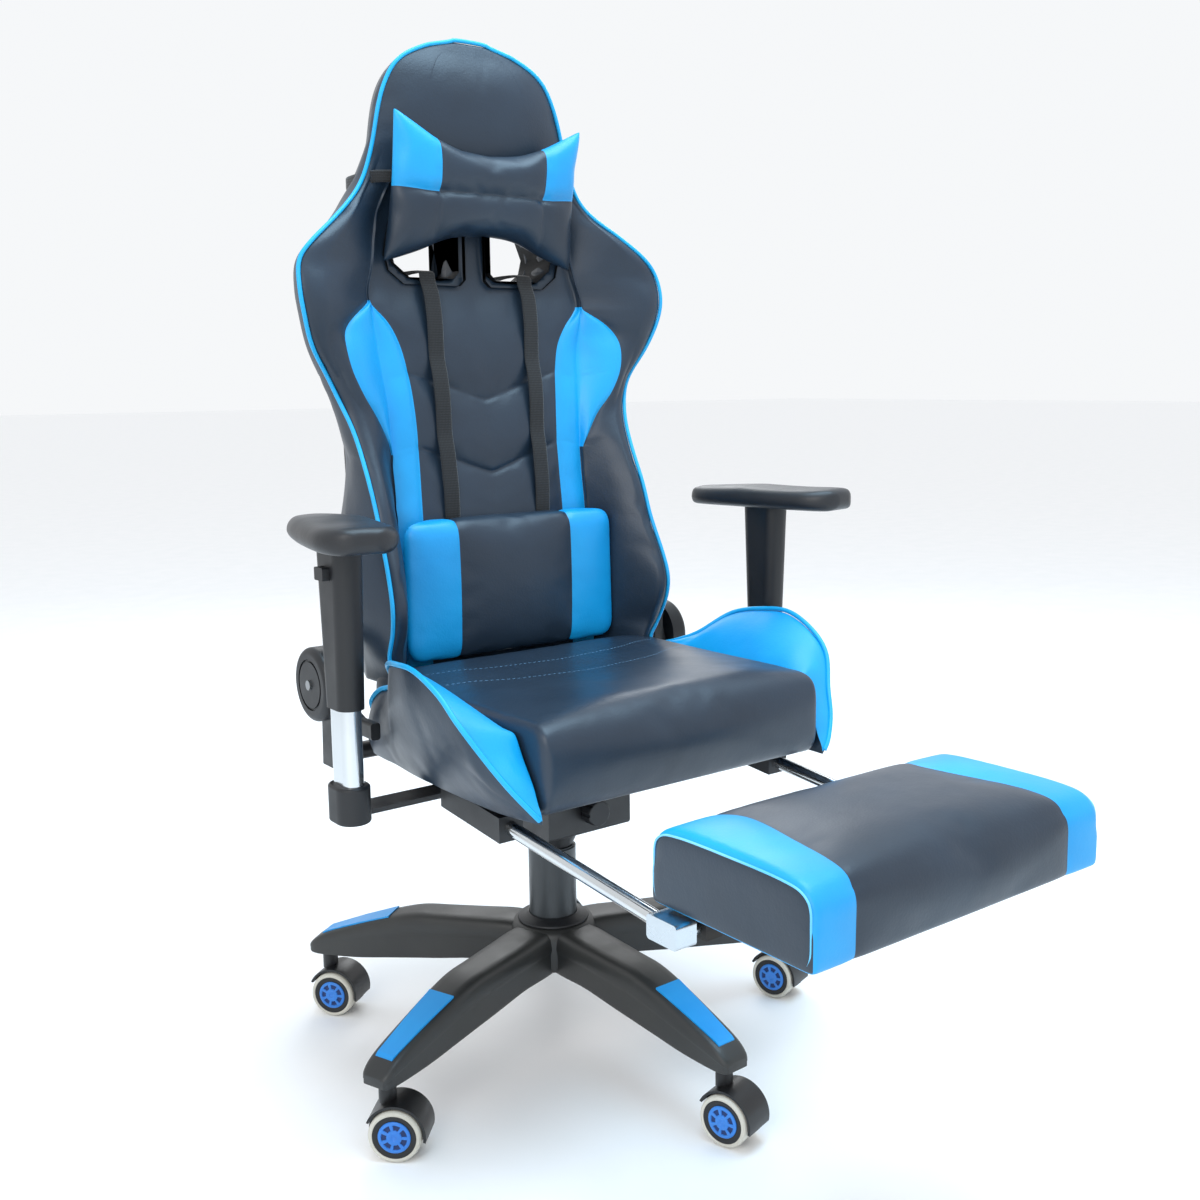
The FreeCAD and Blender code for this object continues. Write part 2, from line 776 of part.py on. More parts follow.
def makeBezels():
    """Rims that line the two harness openings from front to back."""
    face = interpolate(backRows, holeBottom, 5)
    rear = rearY(holeTop + bezelRim) + shellThickness
    rim = holePrism(bezelRim, face - bezelThickness - 4, face - 4)
    liner = holePrism(bezelWall, face - 5, rear + 2)
    rearRim = holePrism(bezelRim - 4, rear + 0.5, rear + 4)
    bezel = fuse([rim, liner, rearRim]).cut(holePrism(0, 0, 400))
    return Part.makeCompound(bothSides(bezel))


# Loose pillows and their straps

def makeHeadPillow():
    """Bow-tie outline crossed with a side view that leans forward at the top."""
    outline = [(-136, 502), (-60, 516), (0, 520), (60, 516), (136, 502), (140, 560), (133, 600),
               (136, 640), (126, 675), (86, 652), (0, 634), (-86, 652), (-126, 675), (-136, 640),
               (-133, 600), (-140, 560)]
    front = prism("y", [(x, pivotZ + h) for x, h in outline], 60, 180)
    side = prism("x", [(122, pivotZ + 500), (84, pivotZ + 680), (128, pivotZ + 680),
                       (143, pivotZ + 590), (149, pivotZ + 500)], -150, 150)
    return front.common(side)


def makeHeadStrap():
    """An elastic band from the pillow round the back of the neck."""
    low, high, gauge = 602, 622, 2.0
    half = interpolate(backRows, low, 1) + 1
    front = 128.0
    rear = rearY(high) + shellThickness + 1
    inner = [(-half, front), (half, front), (half, rear), (-half, rear)]
    outer = [(-half - gauge, front), (half + gauge, front), (half + gauge, rear + gauge),
             (-half - gauge, rear + gauge)]
    band = prism("z", outer, pivotZ + low, pivotZ + high)
    band = band.cut(prism("z", inner, pivotZ + low - 1, pivotZ + high + 1))
    tab = box((136.5, half + gauge), (front - gauge, front), (pivotZ + low, pivotZ + high))
    return fuse([band] + bothSides(tab))


def lumbarRear(height):
    return interpolate(backRows, height, 5) - 5


def makeLumbarPillow():
    low, high, half = 17, 184, 132
    profile = [(64, pivotZ + low + 6), (60, pivotZ + 100), (66, pivotZ + high - 6),
               (lumbarRear(high), pivotZ + high), (lumbarRear(low), pivotZ + low)]
    pad = prism("x", profile, -half, half)
    ends = prism("x", [(64, pivotZ + low + 8), (60, pivotZ + 100), (66, pivotZ + high - 8),
                       (76, pivotZ + high - 4), (76, pivotZ + low + 4)], -half - 20, half + 20)
    return fuse([pad, ends])


def makeLumbarStraps():
    """Two webbing straps from the lumbar pillow up through the harness openings."""
    gauge, half = 1.6, 11.5
    heights = [188, 262, 335, 397, 434, 470]
    front = [(interpolate(backRows, h, 5) - 4, pivotZ + h) for h in heights]
    lip = interpolate(backRows, holeBottom, 5) - 4 - bezelThickness - 2.5
    run = front + [(lip, pivotZ + 478), (lip, pivotZ + holeBottom + 6),
                   (rearY(holeBottom) + shellThickness + 8, pivotZ + holeBottom + 6)]
    back = [(y, z + gauge) for y, z in run[:-3:-1]]
    back += [(y - gauge, z + gauge * (i == 0)) for i, (y, z) in enumerate(run[-3::-1])]
    strap = prism("x", run + back, -half, half)
    left, right = strap.copy(), strap.copy()
    left.translate(V(72, 0, 0))
    right.translate(V(-72, 0, 0))
    return Part.makeCompound([left, right])


# Arms

def makeArmBracket():
    """Flat bar from under the seat rail, up a step and out to the socket."""
    y = (armBarY - armBarHalf, armBarY + armBarHalf)
    low, high = railBottom - armBarThickness, railBottom + armBarThickness
    step = railOuter + 1
    return fuse([box((plateHalf + 1, step + armBarThickness), y, (low, railBottom)),
                 box((step, step + armBarThickness), y, (low, high)),
                 box((step, columnX - 4), y, (railBottom, high))])


def socketBottom():
    return railBottom - socketDrop


def makeArmSocket():
    socket = ovalBar((columnX, columnY, socketBottom()), socketHalfX, socketHalfY, socketHeight)
    socket = rounded(socket, 3, lambda e: abs(e.BoundBox.ZLength) < 1e-6)
    return cutAll(socket, [makeArmPostSolid(), makeArmBracket()])


def makeArmPostSolid():
    return ovalBar((columnX, columnY, socketBottom() + 4), postHalfX, postHalfY, postLength)


def makeArmPost():
    core = ovalBar((columnX, columnY, socketBottom() + 3), postHalfX - postWall,
                   postHalfY - postWall, postLength + 2)
    return cutAll(makeArmPostSolid(), [core, makeArmBracket()])


def sleeveBottom():
    return socketBottom() + socketHeight + postShown


def makeArmSleeve():
    low, high = sleeveBottom(), sleeveBottom() + sleeveLength
    outer = Part.makeLoft([ovalWire((columnX, columnY, low), sleeveHalfX, sleeveHalfY),
                           ovalWire((columnX, columnY, high), sleeveTopHalfX, sleeveTopHalfY)],
                          True, True)
    bore = ovalBar((columnX, columnY, low - 1), postHalfX + slideFit, postHalfY + slideFit,
                   sleeveLength - sleeveCap + 1)
    return cutAll(outer, [bore, buttonRoom()])


def buttonZ():
    return sleeveBottom() + sleeveLength - 30


def buttonRoom():
    return box((columnX + postHalfX - 2, columnX + sleeveTopHalfX + 4),
               (columnY - 10.3, columnY + 10.3), (buttonZ() - 7.3, buttonZ() + 7.3))


def makeArmButton():
    button = box((columnX + postHalfX + 4, columnX + sleeveTopHalfX + 8),
                 (columnY - 10, columnY + 10), (buttonZ() - 7, buttonZ() + 7))
    return rounded(button, 2, lambda e: alongAxis(e, 0))


def makeArmPad():
    """A soft-edged pad, wide at the front and narrow at the rear."""
    centre = columnX + padShift
    low = sleeveBottom() + sleeveLength

    def outline(inset, z):
        half = [(18, 2), (38, 16), (45, 44), (45, 146), (38, 216), (30, 250), (16, 272)]
        width = padHalf / 45.0
        length = (padFront + padRear) / 274.0
        front = columnY - padFront + inset
        rear = columnY + padRear - inset
        side = [(x * width - inset, min(max(columnY - padFront + y * length, front), rear))
                for x, y in half]
        points = [(centre + x, y, z) for x, y in side]
        points += [(centre - x, y, z) for x, y in side[::-1]]
        return points

    levels = [(9, 0), (2, 4), (0, 10), (0, 15), (3, 21), (10, padThickness)]
    pad = loft([outline(inset, low + rise) for inset, rise in levels])
    return turned(pad, padTurn, (centre, columnY, low))


# Footrest

def onFootTube(y):
    """Height of the footrest tube's axis at y: it falls towards the front."""
    return railTop - footTubeZ + y * math.tan(footSlope)


def footTubeSolid(radius, startY, endY, x):
    start = V(x, startY, onFootTube(startY))
    step = V(x, endY, onFootTube(endY)) - start
    return Part.makeCylinder(radius, step.Length, start, step)


def makeFootGuides():
    """Boxes bolted to the rails. The tubes run right through them."""
    pieces = []
    for side in (1, -1):
        x = side * footTubeX
        rise = guideHalf - 1
        block = prism("x", [(guideFront, onFootTube(guideFront) - rise),
                            (guideRear, onFootTube(guideRear) - rise),
                            (guideRear, onFootTube(guideRear) + rise),
                            (guideFront, onFootTube(guideFront) + rise)],
                      x - guideHalf, x + guideHalf)
        inner, outer = sorted((side * railOuter, x - side * guideHalf))
        lug = box((inner, outer), (guideFront + 20, guideRear - 10), (railTop - 20, railTop - 2))
        bore = footTubeSolid(footTubeRadius + slideFit, guideRear + 30, guideFront - 30, x)
        pieces.append(block.fuse(lug).cut(bore))
    return Part.makeCompound(pieces)


def makeFootTubes():
    tubes = []
    for x in (footTubeX, -footTubeX):
        solid = footTubeSolid(footTubeRadius, footTubeInnerY, footTubeOuterY, x)
        core = footTubeSolid(footTubeRadius - footTubeWall, footTubeInnerY + 5,
                             footTubeOuterY - 5, x)
        tubes.append(solid.cut(core))
    return Part.makeCompound(tubes)


def footPivotZ():
    return onFootTube(footPivotY) - 3


def makeFootBlocks():
    """Cast corner blocks on the tube ends, each with the pin that the board turns on."""
    z = footPivotZ()
    block = box((footTubeX - 12, footTubeX + 12), (footPivotY - 12, footPivotY + 31),
                (z - 9, z + 15))
    block = rounded(block, 4, lambda e: alongAxis(e, 0))
    pin = rod((footTubeX - 52, footPivotY, z), (1, 0, 0), footPinRadius, 52)
    block = block.fuse(pin).cut(footTubeSolid(footTubeRadius, 0, footTubeOuterY, footTubeX))
    return Part.makeCompound(bothSides(block))


def makeFootBoard():
    """The board under the cushion with its two hinge lugs."""
    z = footPivotZ()
    rear = footPivotY + footRearReach - 12
    board = box((-footHalf + 12, footHalf - 12), (rear - footDepth + 24, rear),
                (z + boardLift, z + boardLift + boardThickness))
    lugX = footTubeX - 44
    lug = box((lugX, lugX + 20), (footPivotY - 11, footPivotY + 11), (z - 9, z + boardLift))
    lug = lug.cut(rod((lugX - 1, footPivotY, z), (1, 0, 0), footPinRadius + slideFit, 22))
    return fuse([board] + bothSides(lug))


def makeFootCushion():
    z = footPivotZ() + boardLift
    rear = footPivotY + footRearReach
    pad = box((-footHalf, footHalf), (rear - footDepth, rear), (z + 2, z + boardThickness + footThickness))
    pad = rounded(pad, 10, lambda e: alongAxis(e, 0) and e.BoundBox.Center.z > z + 20)
    return pad.cut(box((-footHalf + 11.7, footHalf - 11.7), (rear - footDepth + 11.7, rear - 11.7),
                       (z - 1, z + boardThickness + 0.1)))


# Fasteners

def bolt(x, y, z, direction, radius=4.0, head=2.5):
    """A cap head that stands on the surface at the given point."""
    return rod((x, y, z), (0, 0, direction), radius, head)


def makeFasteners():
    heads = []
    for y in (armBarY - 9, armBarY + 9):
        heads += bothSides(bolt(railOuter - 11, y, railBottom - armBarThickness, -1))
    for x in (plateHalf - 60, plateHalf - 20):
        for y in (11 - plateLength / 2, plateLength / 2 - 11):
            heads += bothSides(bolt(x, y, plateBottom, -1))
    cap = rod((coverX + reclinerCoverDepth, pivotY, pivotZ), (1, 0, 0), 6, 2.5)
    heads += bothSides(cap)
    return Part.makeCompound(heads)


def buildNodes():
    nodes = {
        "star_base": makeBase(),
        "base_inserts": makeInserts(),
        "gas_cylinder": makeColumn(),
        "gas_rod": makeGasRod(),
        "lift_cover_lower": makeLowerCover(),
        "lift_cover_upper": makeUpperCover(),
        "tilt_housing": makeHousing(),
        "tilt_spring": makeSpring(),
        "tension_knob": makeKnob(),
        "height_lever": makeHeightLever(),
        "tilt_plate": makeTiltPlate(),
        "seat_frame": makeSeatFrame(),
        "seat_cushion": makeSeatCushion(),
        "recliner_plates": makeReclinerPlates(),
        "recline_lever": makeReclineLever(),
        "back_frame": makeBackFrame(),
        "back_cushion": makeBackCushion(),
        "back_shell": makeBackShell(),
        "harness_bezels": makeBezels(),
        "head_pillow": makeHeadPillow(),
        "head_strap": makeHeadStrap(),
        "lumbar_pillow": makeLumbarPillow(),
        "lumbar_straps": makeLumbarStraps(),
        "footrest_guides": makeFootGuides(),
        "footrest_tubes": makeFootTubes(),
        "footrest_pivot_blocks": makeFootBlocks(),
        "footrest_board": makeFootBoard(),
        "footrest_cushion": makeFootCushion(),
        "fasteners": makeFasteners(),
    }
    for i in range(armCount):
        nodes[f"caster_{i + 1}_hood"] = placeCaster(casterHood(), i)
        nodes[f"caster_{i + 1}_pins"] = placeCaster(casterPins(), i)
        nodes[f"caster_{i + 1}_wheels"] = placeCaster(casterWheels(), i)
    pairs = {
        "seat_wing": makeWing(), "recliner_cover": makeReclinerCover(),
        "arm_bracket": makeArmBracket(), "arm_socket": makeArmSocket(), "arm_post": makeArmPost(),
        "arm_sleeve": makeArmSleeve(), "arm_pad": makeArmPad(), "arm_button": makeArmButton(),
    }
    for name, shape in pairs.items():
        nodes[name + "_left"] = shape
        nodes[name + "_right"] = otherSide(shape)
    return nodes


os.makedirs("parts", exist_ok=True)
for name, shape in buildNodes().items():
    solids = shape.Solids
    print(f"{name:24s} solids {len(solids):2d} volume {shape.Volume / 1000:9.1f} cm3 "
          f"valid {shape.isValid()}")
    shape.exportStep(f"parts/{name}.step")
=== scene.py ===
import bpy
import bmesh
import math
from mathutils import Matrix, Vector
from mathutils.bvhtree import BVHTree
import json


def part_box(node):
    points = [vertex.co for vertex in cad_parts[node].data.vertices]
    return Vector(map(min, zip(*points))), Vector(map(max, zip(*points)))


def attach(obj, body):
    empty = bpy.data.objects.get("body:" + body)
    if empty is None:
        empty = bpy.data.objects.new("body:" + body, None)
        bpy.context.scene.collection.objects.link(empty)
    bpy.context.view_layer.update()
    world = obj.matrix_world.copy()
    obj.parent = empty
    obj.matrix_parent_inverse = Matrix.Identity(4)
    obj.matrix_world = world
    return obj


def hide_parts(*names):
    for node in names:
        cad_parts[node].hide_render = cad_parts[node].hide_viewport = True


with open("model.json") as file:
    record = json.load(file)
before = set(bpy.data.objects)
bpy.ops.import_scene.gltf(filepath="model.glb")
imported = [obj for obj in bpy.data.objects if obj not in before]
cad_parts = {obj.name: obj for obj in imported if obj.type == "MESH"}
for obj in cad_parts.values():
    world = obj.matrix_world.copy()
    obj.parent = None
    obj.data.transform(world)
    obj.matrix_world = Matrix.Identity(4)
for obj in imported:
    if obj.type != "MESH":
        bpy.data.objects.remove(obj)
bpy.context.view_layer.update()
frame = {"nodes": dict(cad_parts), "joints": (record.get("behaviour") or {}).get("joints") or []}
nodes = frame["nodes"]
joints = {joint["name"]: joint for joint in frame["joints"]}
scene = bpy.context.scene
mm = 0.001
print("frame loaded:", len(nodes), "nodes")


def span(node):
    low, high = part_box(node)
    return Vector(low), Vector(high)


def pivotOf(name):
    return Vector(joints[name]["pos_m"])


def blendTo(a, b, share):
    return a + (b - a) * share


def readCurve(points, at):
    # a smooth line through (place, value) pairs sorted by place
    if at <= points[0][0]:
        return points[0][1]
    for k in range(len(points) - 1):
        (x0, y0), (x1, y1) = points[k], points[k + 1]
        if at <= x1:
            before, after = points[max(k - 1, 0)], points[min(k + 2, len(points) - 1)]
            width = x1 - x0
            slope0 = (y1 - before[1]) / (x1 - before[0]) * width
            slope1 = (after[1] - y0) / (after[0] - x0) * width
            t = (at - x0) / width
            return ((2 * t ** 3 - 3 * t ** 2 + 1) * y0 + (t ** 3 - 2 * t ** 2 + t) * slope0
                    + (3 * t ** 2 - 2 * t ** 3) * y1 + (t ** 3 - t ** 2) * slope1)
    return points[-1][1]


def throughRows(rows, at):
    # a smooth blend of whole rows, at counts from 0 to len(rows) - 1
    columns = zip(*rows)
    return [readCurve(list(enumerate(column)), at) for column in columns]


def fraction(*values):
    # the smallest of the values, held between 0 and 1
    return max(0.0, min(1.0, *values))


def evenly(count):
    return [-1 + 2 * k / count for k in range(1, count)]


def gridBlock(cuts):
    # a cube from -1 to 1, sliced along each axis at the given places
    mesh = bmesh.new()
    bmesh.ops.create_cube(mesh, size=2)
    for axis, places in enumerate(cuts):
        direction = Vector((0, 0, 0))
        direction[axis] = 1
        for place in places:
            bmesh.ops.bisect_plane(mesh, geom=mesh.verts[:] + mesh.edges[:] + mesh.faces[:],
                                   plane_co=direction * place, plane_no=direction, dist=1e-6)
    return mesh


def gridSheet(across, along):
    # a flat grid whose x and y run from 0 to the number of faces
    mesh = bmesh.new()
    bmesh.ops.create_grid(mesh, x_segments=across, y_segments=along, size=1)
    bmesh.ops.translate(mesh, verts=mesh.verts, vec=(1, 1, 0))
    bmesh.ops.scale(mesh, verts=mesh.verts, vec=(across / 2, along / 2, 1))
    return mesh


def roundCorner(key, half, radius):
    # moves a point of the sliced cube onto a box with rounded edges
    point = Vector([k * h for k, h in zip(key, half)])
    inner = Vector([max(-h + r, min(h - r, p)) for p, h, r in zip(point, half, radius)])
    away = Vector([(p - i) / r for p, i, r in zip(point, inner, radius)])
    if away.length > 0:
        away.normalize()
    return inner + Vector([a * r for a, r in zip(away, radius)])


def shapeMesh(mesh, place, kind=None, seam=None):
    # paints, pins and then moves every point of a grid
    layer = mesh.verts.layers.deform.verify()
    if kind:
        for face in mesh.faces:
            face.material_index = kind(face.calc_center_median())
    for vert in mesh.verts:
        if seam:
            vert[layer][0] = seam(vert.co)
        vert.co = place(vert.co)
    bmesh.ops.remove_doubles(mesh, verts=mesh.verts, dist=1e-5)
    bmesh.ops.recalc_face_normals(mesh, faces=mesh.faces)
    return mesh


def addObject(name, data):
    added = bpy.data.objects.new(name, data)
    scene.collection.objects.link(added)
    return added


def addMesh(name, mesh):
    data = bpy.data.meshes.new(name)
    mesh.to_mesh(data)
    mesh.free()
    return addObject(name, data)


def closeEnds(mesh):
    bmesh.ops.holes_fill(mesh, edges=mesh.edges, sides=0)
    bmesh.ops.recalc_face_normals(mesh, faces=mesh.faces)


def makePiece(name, mesh, body, materials, replaced=()):
    piece = addMesh(name, mesh)
    piece.vertex_groups.new(name="seam")
    for material in materials:
        piece.data.materials.append(material)
    for polygon in piece.data.polygons:
        polygon.use_smooth = True
    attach(piece, body)
    if replaced:
        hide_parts(*replaced)
    return piece


def mirrored(mesh):
    copy = mesh.copy()
    bmesh.ops.scale(copy, verts=copy.verts, vec=(-1, 1, 1))
    bmesh.ops.recalc_face_normals(copy, faces=copy.faces)
    return copy


def smoothOver(piece):
    finish = piece.modifiers.new("Subdivision", "SUBSURF")
    finish.levels = 1
    finish.render_levels = 1


def bevelOver(piece, width, segments=2):
    finish = piece.modifiers.new("Bevel", "BEVEL")
    finish.width = width
    finish.segments = segments
    finish.limit_method = "ANGLE"
    finish.angle_limit = math.radians(40)


def thicken(piece, thickness):
    wall = piece.modifiers.new("Thickness", "SOLIDIFY")
    wall.thickness = thickness
    wall.offset = 0


def puff(piece, pressure, cap, slack=0.0):
    # blows the cover up from inside: the seam group stays put and no point moves past the cap
    cloth = piece.modifiers.new("Cloth", "CLOTH")
    cloth.settings.quality = 4
    cloth.settings.mass = 0.3
    cloth.settings.tension_stiffness = 20
    cloth.settings.compression_stiffness = 12
    cloth.settings.shear_stiffness = 6
    cloth.settings.bending_stiffness = 0.6
    cloth.settings.use_pressure = True
    cloth.settings.uniform_pressure_force = pressure
    cloth.settings.shrink_min = -slack
    cloth.settings.effector_weights.gravity = 0
    cloth.settings.vertex_group_mass = "seam"
    cloth.point_cache.frame_end = 20
    for step in range(1, 21):
        scene.frame_set(step)
    settled = piece.evaluated_get(bpy.context.evaluated_depsgraph_get())
    moved = [vert.co.copy() for vert in settled.data.vertices]
    piece.modifiers.remove(cloth)
    scene.frame_set(1)
    for vert, to in zip(piece.data.vertices, moved):
        step = to - vert.co
        if step.length > cap:
            step.length = cap
        vert.co = vert.co + step


def finishedMesh(holder):
    # a copy of the mesh with its modifiers applied
    return bpy.data.meshes.new_from_object(
        holder.evaluated_get(bpy.context.evaluated_depsgraph_get()))


def tubeAlong(points, radius, sides=8):
    # a round cord swept along a smooth line, made a mesh
    curve = bpy.data.curves.new("line", "CURVE")
    curve.dimensions = "3D"
    curve.bevel_depth = radius
    curve.bevel_resolution = sides // 4
    curve.use_fill_caps = True
    curve.resolution_u = 4
    spline = curve.splines.new("NURBS")
    spline.points.add(len(points) - 1)
    for target, point in zip(spline.points, points):
        target.co = (*point, 1)
    spline.order_u = 3
    spline.use_endpoint_u = True
    holder = addObject("line", curve)
    swept = finishedMesh(holder)
    mesh = bmesh.new()
    mesh.from_mesh(swept)
    bpy.data.objects.remove(holder)
    bpy.data.meshes.remove(swept)
    bmesh.ops.remove_doubles(mesh, verts=mesh.verts, dist=1e-6)
    bmesh.ops.recalc_face_normals(mesh, faces=mesh.faces)
    return mesh


def joinMeshes(parts):
    whole = bmesh.new()
    for part in parts:
        data = bpy.data.meshes.new("part")
        part.to_mesh(data)
        part.free()
        whole.from_mesh(data)
        bpy.data.meshes.remove(data)
    return whole


def surfaceOf(piece):
    depsgraph = bpy.context.evaluated_depsgraph_get()
    return BVHTree.FromObject(piece, depsgraph)


def stitchRow(surface, points, look, spacing=0.0065, sink=0.0003):
    # short threads laid on a surface along a line, found by looking at it in one direction
    lengths = [0.0]
    for a, b in zip(points, points[1:]):
        lengths.append(lengths[-1] + (b - a).length)
    track = [list(zip(lengths, [p[axis] for p in points])) for axis in range(3)]
    parts = []
    for k in range(int(lengths[-1] / spacing)):
        ends = []
        for offset in (-0.0019, 0.0019):
            place = Vector([readCurve(line, (k + 0.5) * spacing + offset) for line in track])
            hit = surface.ray_cast(place - look * 0.06, look, 0.12)
            if hit[0] is None:
                break
            ends.append((hit[0], hit[1]))
        if len(ends) < 2:
            continue
        (a, normal), (b, _) = ends
        thread = bmesh.new()
        bmesh.ops.create_cone(thread, cap_ends=True, segments=5, radius1=0.00045,
                              radius2=0.00045, depth=(b - a).length)
        turn = (b - a).to_track_quat("Z", "Y").to_matrix().to_4x4()
        shift = Matrix.Translation((a + b) / 2 - normal * sink)
        bmesh.ops.transform(thread, matrix=shift @ turn, verts=thread.verts)
        parts.append(thread)
    return joinMeshes(parts)


view = {"place": (-0.9320, -1.3711, 0.8490), "yaw": 38.069, "pitch": -8.710, "roll": -0.509,
        "lens": 40.133, "shiftX": -0.03027, "shiftY": -0.01257}


def setCamera():
    yaw, pitch, roll = (math.radians(view[k]) for k in ("yaw", "pitch", "roll"))
    forward = Vector((math.sin(yaw) * math.cos(pitch), math.cos(yaw) * math.cos(pitch),
                      math.sin(pitch)))
    right = Vector((math.cos(yaw), -math.sin(yaw), 0))
    up = right.cross(forward)
    rightTurned = right * math.cos(roll) + up * math.sin(roll)
    upTurned = up * math.cos(roll) - right * math.sin(roll)
    data = bpy.data.cameras.new("camera")
    data.sensor_width = 36
    data.lens = view["lens"]
    data.shift_x = view["shiftX"]
    data.shift_y = view["shiftY"]
    data.clip_start = 0.05
    camera = addObject("camera", data)
    turn = Matrix((rightTurned, upTurned, -forward)).transposed().to_4x4()
    camera.matrix_world = Matrix.Translation(view["place"]) @ turn
    scene.camera = camera


def addLight(name, place, target, size, power, color):
    data = bpy.data.lights.new(name, "AREA")
    data.shape = "DISK"
    data.size = size
    data.energy = power
    data.color = color
    lamp = addObject(name, data)
    lamp.location = place
    lamp.rotation_euler = (Vector(target) - Vector(place)).to_track_quat("-Z", "Y").to_euler()


setCamera()
addLight("overhead", (0.3, -0.5, 3.0), (0, 0, 0.4), 2.2, 74, (0.54, 0.8, 1.0))
addLight("window", (-2.4, -1.6, 1.9), (0, 0, 0.6), 1.8, 26, (1.0, 0.99, 0.97))
addLight("rear", (1.6, 2.2, 2.2), (0, 0, 0.8), 1.6, 22, (0.95, 0.98, 1.0))
world = bpy.data.worlds.new("studio")
scene.world = world
world.use_nodes = True
world.node_tree.nodes["Background"].inputs["Color"].default_value = (0.97, 0.985, 1.0, 1)
world.node_tree.nodes["Background"].inputs["Strength"].default_value = 0.95
scene.view_settings.view_transform = "Standard"
print("camera and lights set")


def linear(text):
    # sRGB hex to the linear colour that the shaders take
    values = [int(text[k:k + 2], 16) / 255 for k in (1, 3, 5)]
    return [v / 12.92 if v <= 0.04045 else ((v + 0.055) / 1.055) ** 2.4 for v in values] + [1.0]


def addNode(tree, kind, inputs=None, **settings):
    # a socket given as an input is linked, anything else is set on the node's own socket
    node = tree.nodes.new("ShaderNode" + kind)
    for name, value in settings.items():
        setattr(node, name, value)
    for name, value in (inputs or {}).items():
        if isinstance(value, bpy.types.NodeSocket):
            tree.links.new(value, node.inputs[name])
        else:
            node.inputs[name].default_value = value
    return node


def startMaterial(name):
    material = bpy.data.materials.new(name)
    material.use_nodes = True
    tree = material.node_tree
    tree.nodes.clear()
    place = addNode(tree, "TexCoord").outputs["Object"]
    return material, tree, place


def endMaterial(tree, inputs):
    shader = addNode(tree, "BsdfPrincipled", inputs)
    addNode(tree, "OutputMaterial", {"Surface": shader.outputs["BSDF"]})


def leather(name, deep, pale, roughness):
    # polyurethane leather: embossed pebbles 2.2 mm across over broad soft creases,
    # which break the highlights up so that it reads as a stuffed cover
    material, tree, place = startMaterial(name)
    pebbles = addNode(tree, "TexVoronoi", {"Vector": place, "Scale": 450.0},
                      feature="SMOOTH_F1")
    creases = addNode(tree, "TexNoise", {"Vector": place, "Scale": 38.0, "Detail": 5.0})
    handled = addNode(tree, "TexNoise", {"Vector": place, "Scale": 14.0, "Detail": 3.0})
    rough = addNode(tree, "MapRange",
                    {"Value": handled.outputs["Fac"], "From Min": 0.3, "From Max": 0.7,
                     "To Min": roughness - 0.05, "To Max": roughness + 0.07})
    soft = addNode(tree, "Bump", {"Height": creases.outputs["Fac"],
                                  "Strength": 0.16, "Distance": 0.004})
    grain = addNode(tree, "Bump",
                    {"Height": pebbles.outputs["Distance"], "Strength": 0.22,
                     "Distance": 0.0005, "Normal": soft.outputs["Normal"]})
    cloudy = addNode(tree, "TexNoise", {"Vector": place, "Scale": 6.0, "Detail": 3.0})
    share = addNode(tree, "MapRange",
                    {"Value": cloudy.outputs["Fac"], "From Min": 0.3, "From Max": 0.7})
    color = addNode(tree, "Mix", {0: share.outputs["Result"], 6: linear(deep),
                                  7: linear(pale)}, data_type="RGBA")
    endMaterial(tree, {"Base Color": color.outputs[2], "Roughness": rough.outputs["Result"],
                       "Normal": grain.outputs["Normal"], "IOR": 1.5, "Coat Weight": 0.12,
                       "Coat Roughness": 0.3})
    return material


# injection-moulded plastic: a fine spark-eroded texture and slightly uneven gloss
plastic = {"handled": (22.0, 3.0), "gloss": (-0.06, 0.08), "relief": 900.0, "strength": 0.12,
           "depth": 0.0004, "clouds": (11.0, 0.3, 0.7), "shader": {"IOR": 1.49}}
# chromium plate: near mirror, dulled in faint patches by handling
chrome = {"handled": (30.0, 4.0), "gloss": (0.0, 0.14), "relief": 160.0, "strength": 0.04,
          "depth": 0.0005, "clouds": (8.0, 0.0, 1.0), "shader": {"Metallic": 1.0}}
# powder-coated steel: orange-peel skin about 2 mm across under a satin gloss
powder = {"handled": (45.0, 3.0), "gloss": (-0.05, 0.08), "relief": 480.0, "strength": 0.15,
          "depth": 0.0005, "clouds": (16.0, 0.0, 1.0),
          "shader": {"IOR": 1.52, "Coat Weight": 0.1, "Coat Roughness": 0.35}}


def hardSurface(name, deep, pale, roughness, finish, **changes):
    # handled: scale and detail of the worn patches, clouds: scale and range of the two colours
    f = {**finish, **changes}
    material, tree, place = startMaterial(name)
    handled = addNode(tree, "TexNoise", {"Vector": place, "Scale": f["handled"][0],
                                         "Detail": f["handled"][1]})
    rough = addNode(tree, "MapRange",
                    {"Value": handled.outputs["Fac"], "From Min": 0.3, "From Max": 0.7,
                     "To Min": roughness + f["gloss"][0], "To Max": roughness + f["gloss"][1]})
    relief = addNode(tree, "TexNoise", {"Vector": place, "Scale": f["relief"],
                                        "Detail": 2.0})
    normal = addNode(tree, "Bump", {"Height": relief.outputs["Fac"],
                                    "Strength": f["strength"], "Distance": f["depth"]})
    cloudy = addNode(tree, "TexNoise", {"Vector": place, "Scale": f["clouds"][0],
                                        "Detail": 3.0})
    share = addNode(tree, "MapRange",
                    {"Value": cloudy.outputs["Fac"], "From Min": f["clouds"][1],
                     "From Max": f["clouds"][2]})
    color = addNode(tree, "Mix", {0: share.outputs["Result"], 6: linear(deep),
                                  7: linear(pale)}, data_type="RGBA")
    endMaterial(tree, {"Base Color": color.outputs[2], "Roughness": rough.outputs["Result"],
                       "Normal": normal.outputs["Normal"], **f["shader"]})
    return material


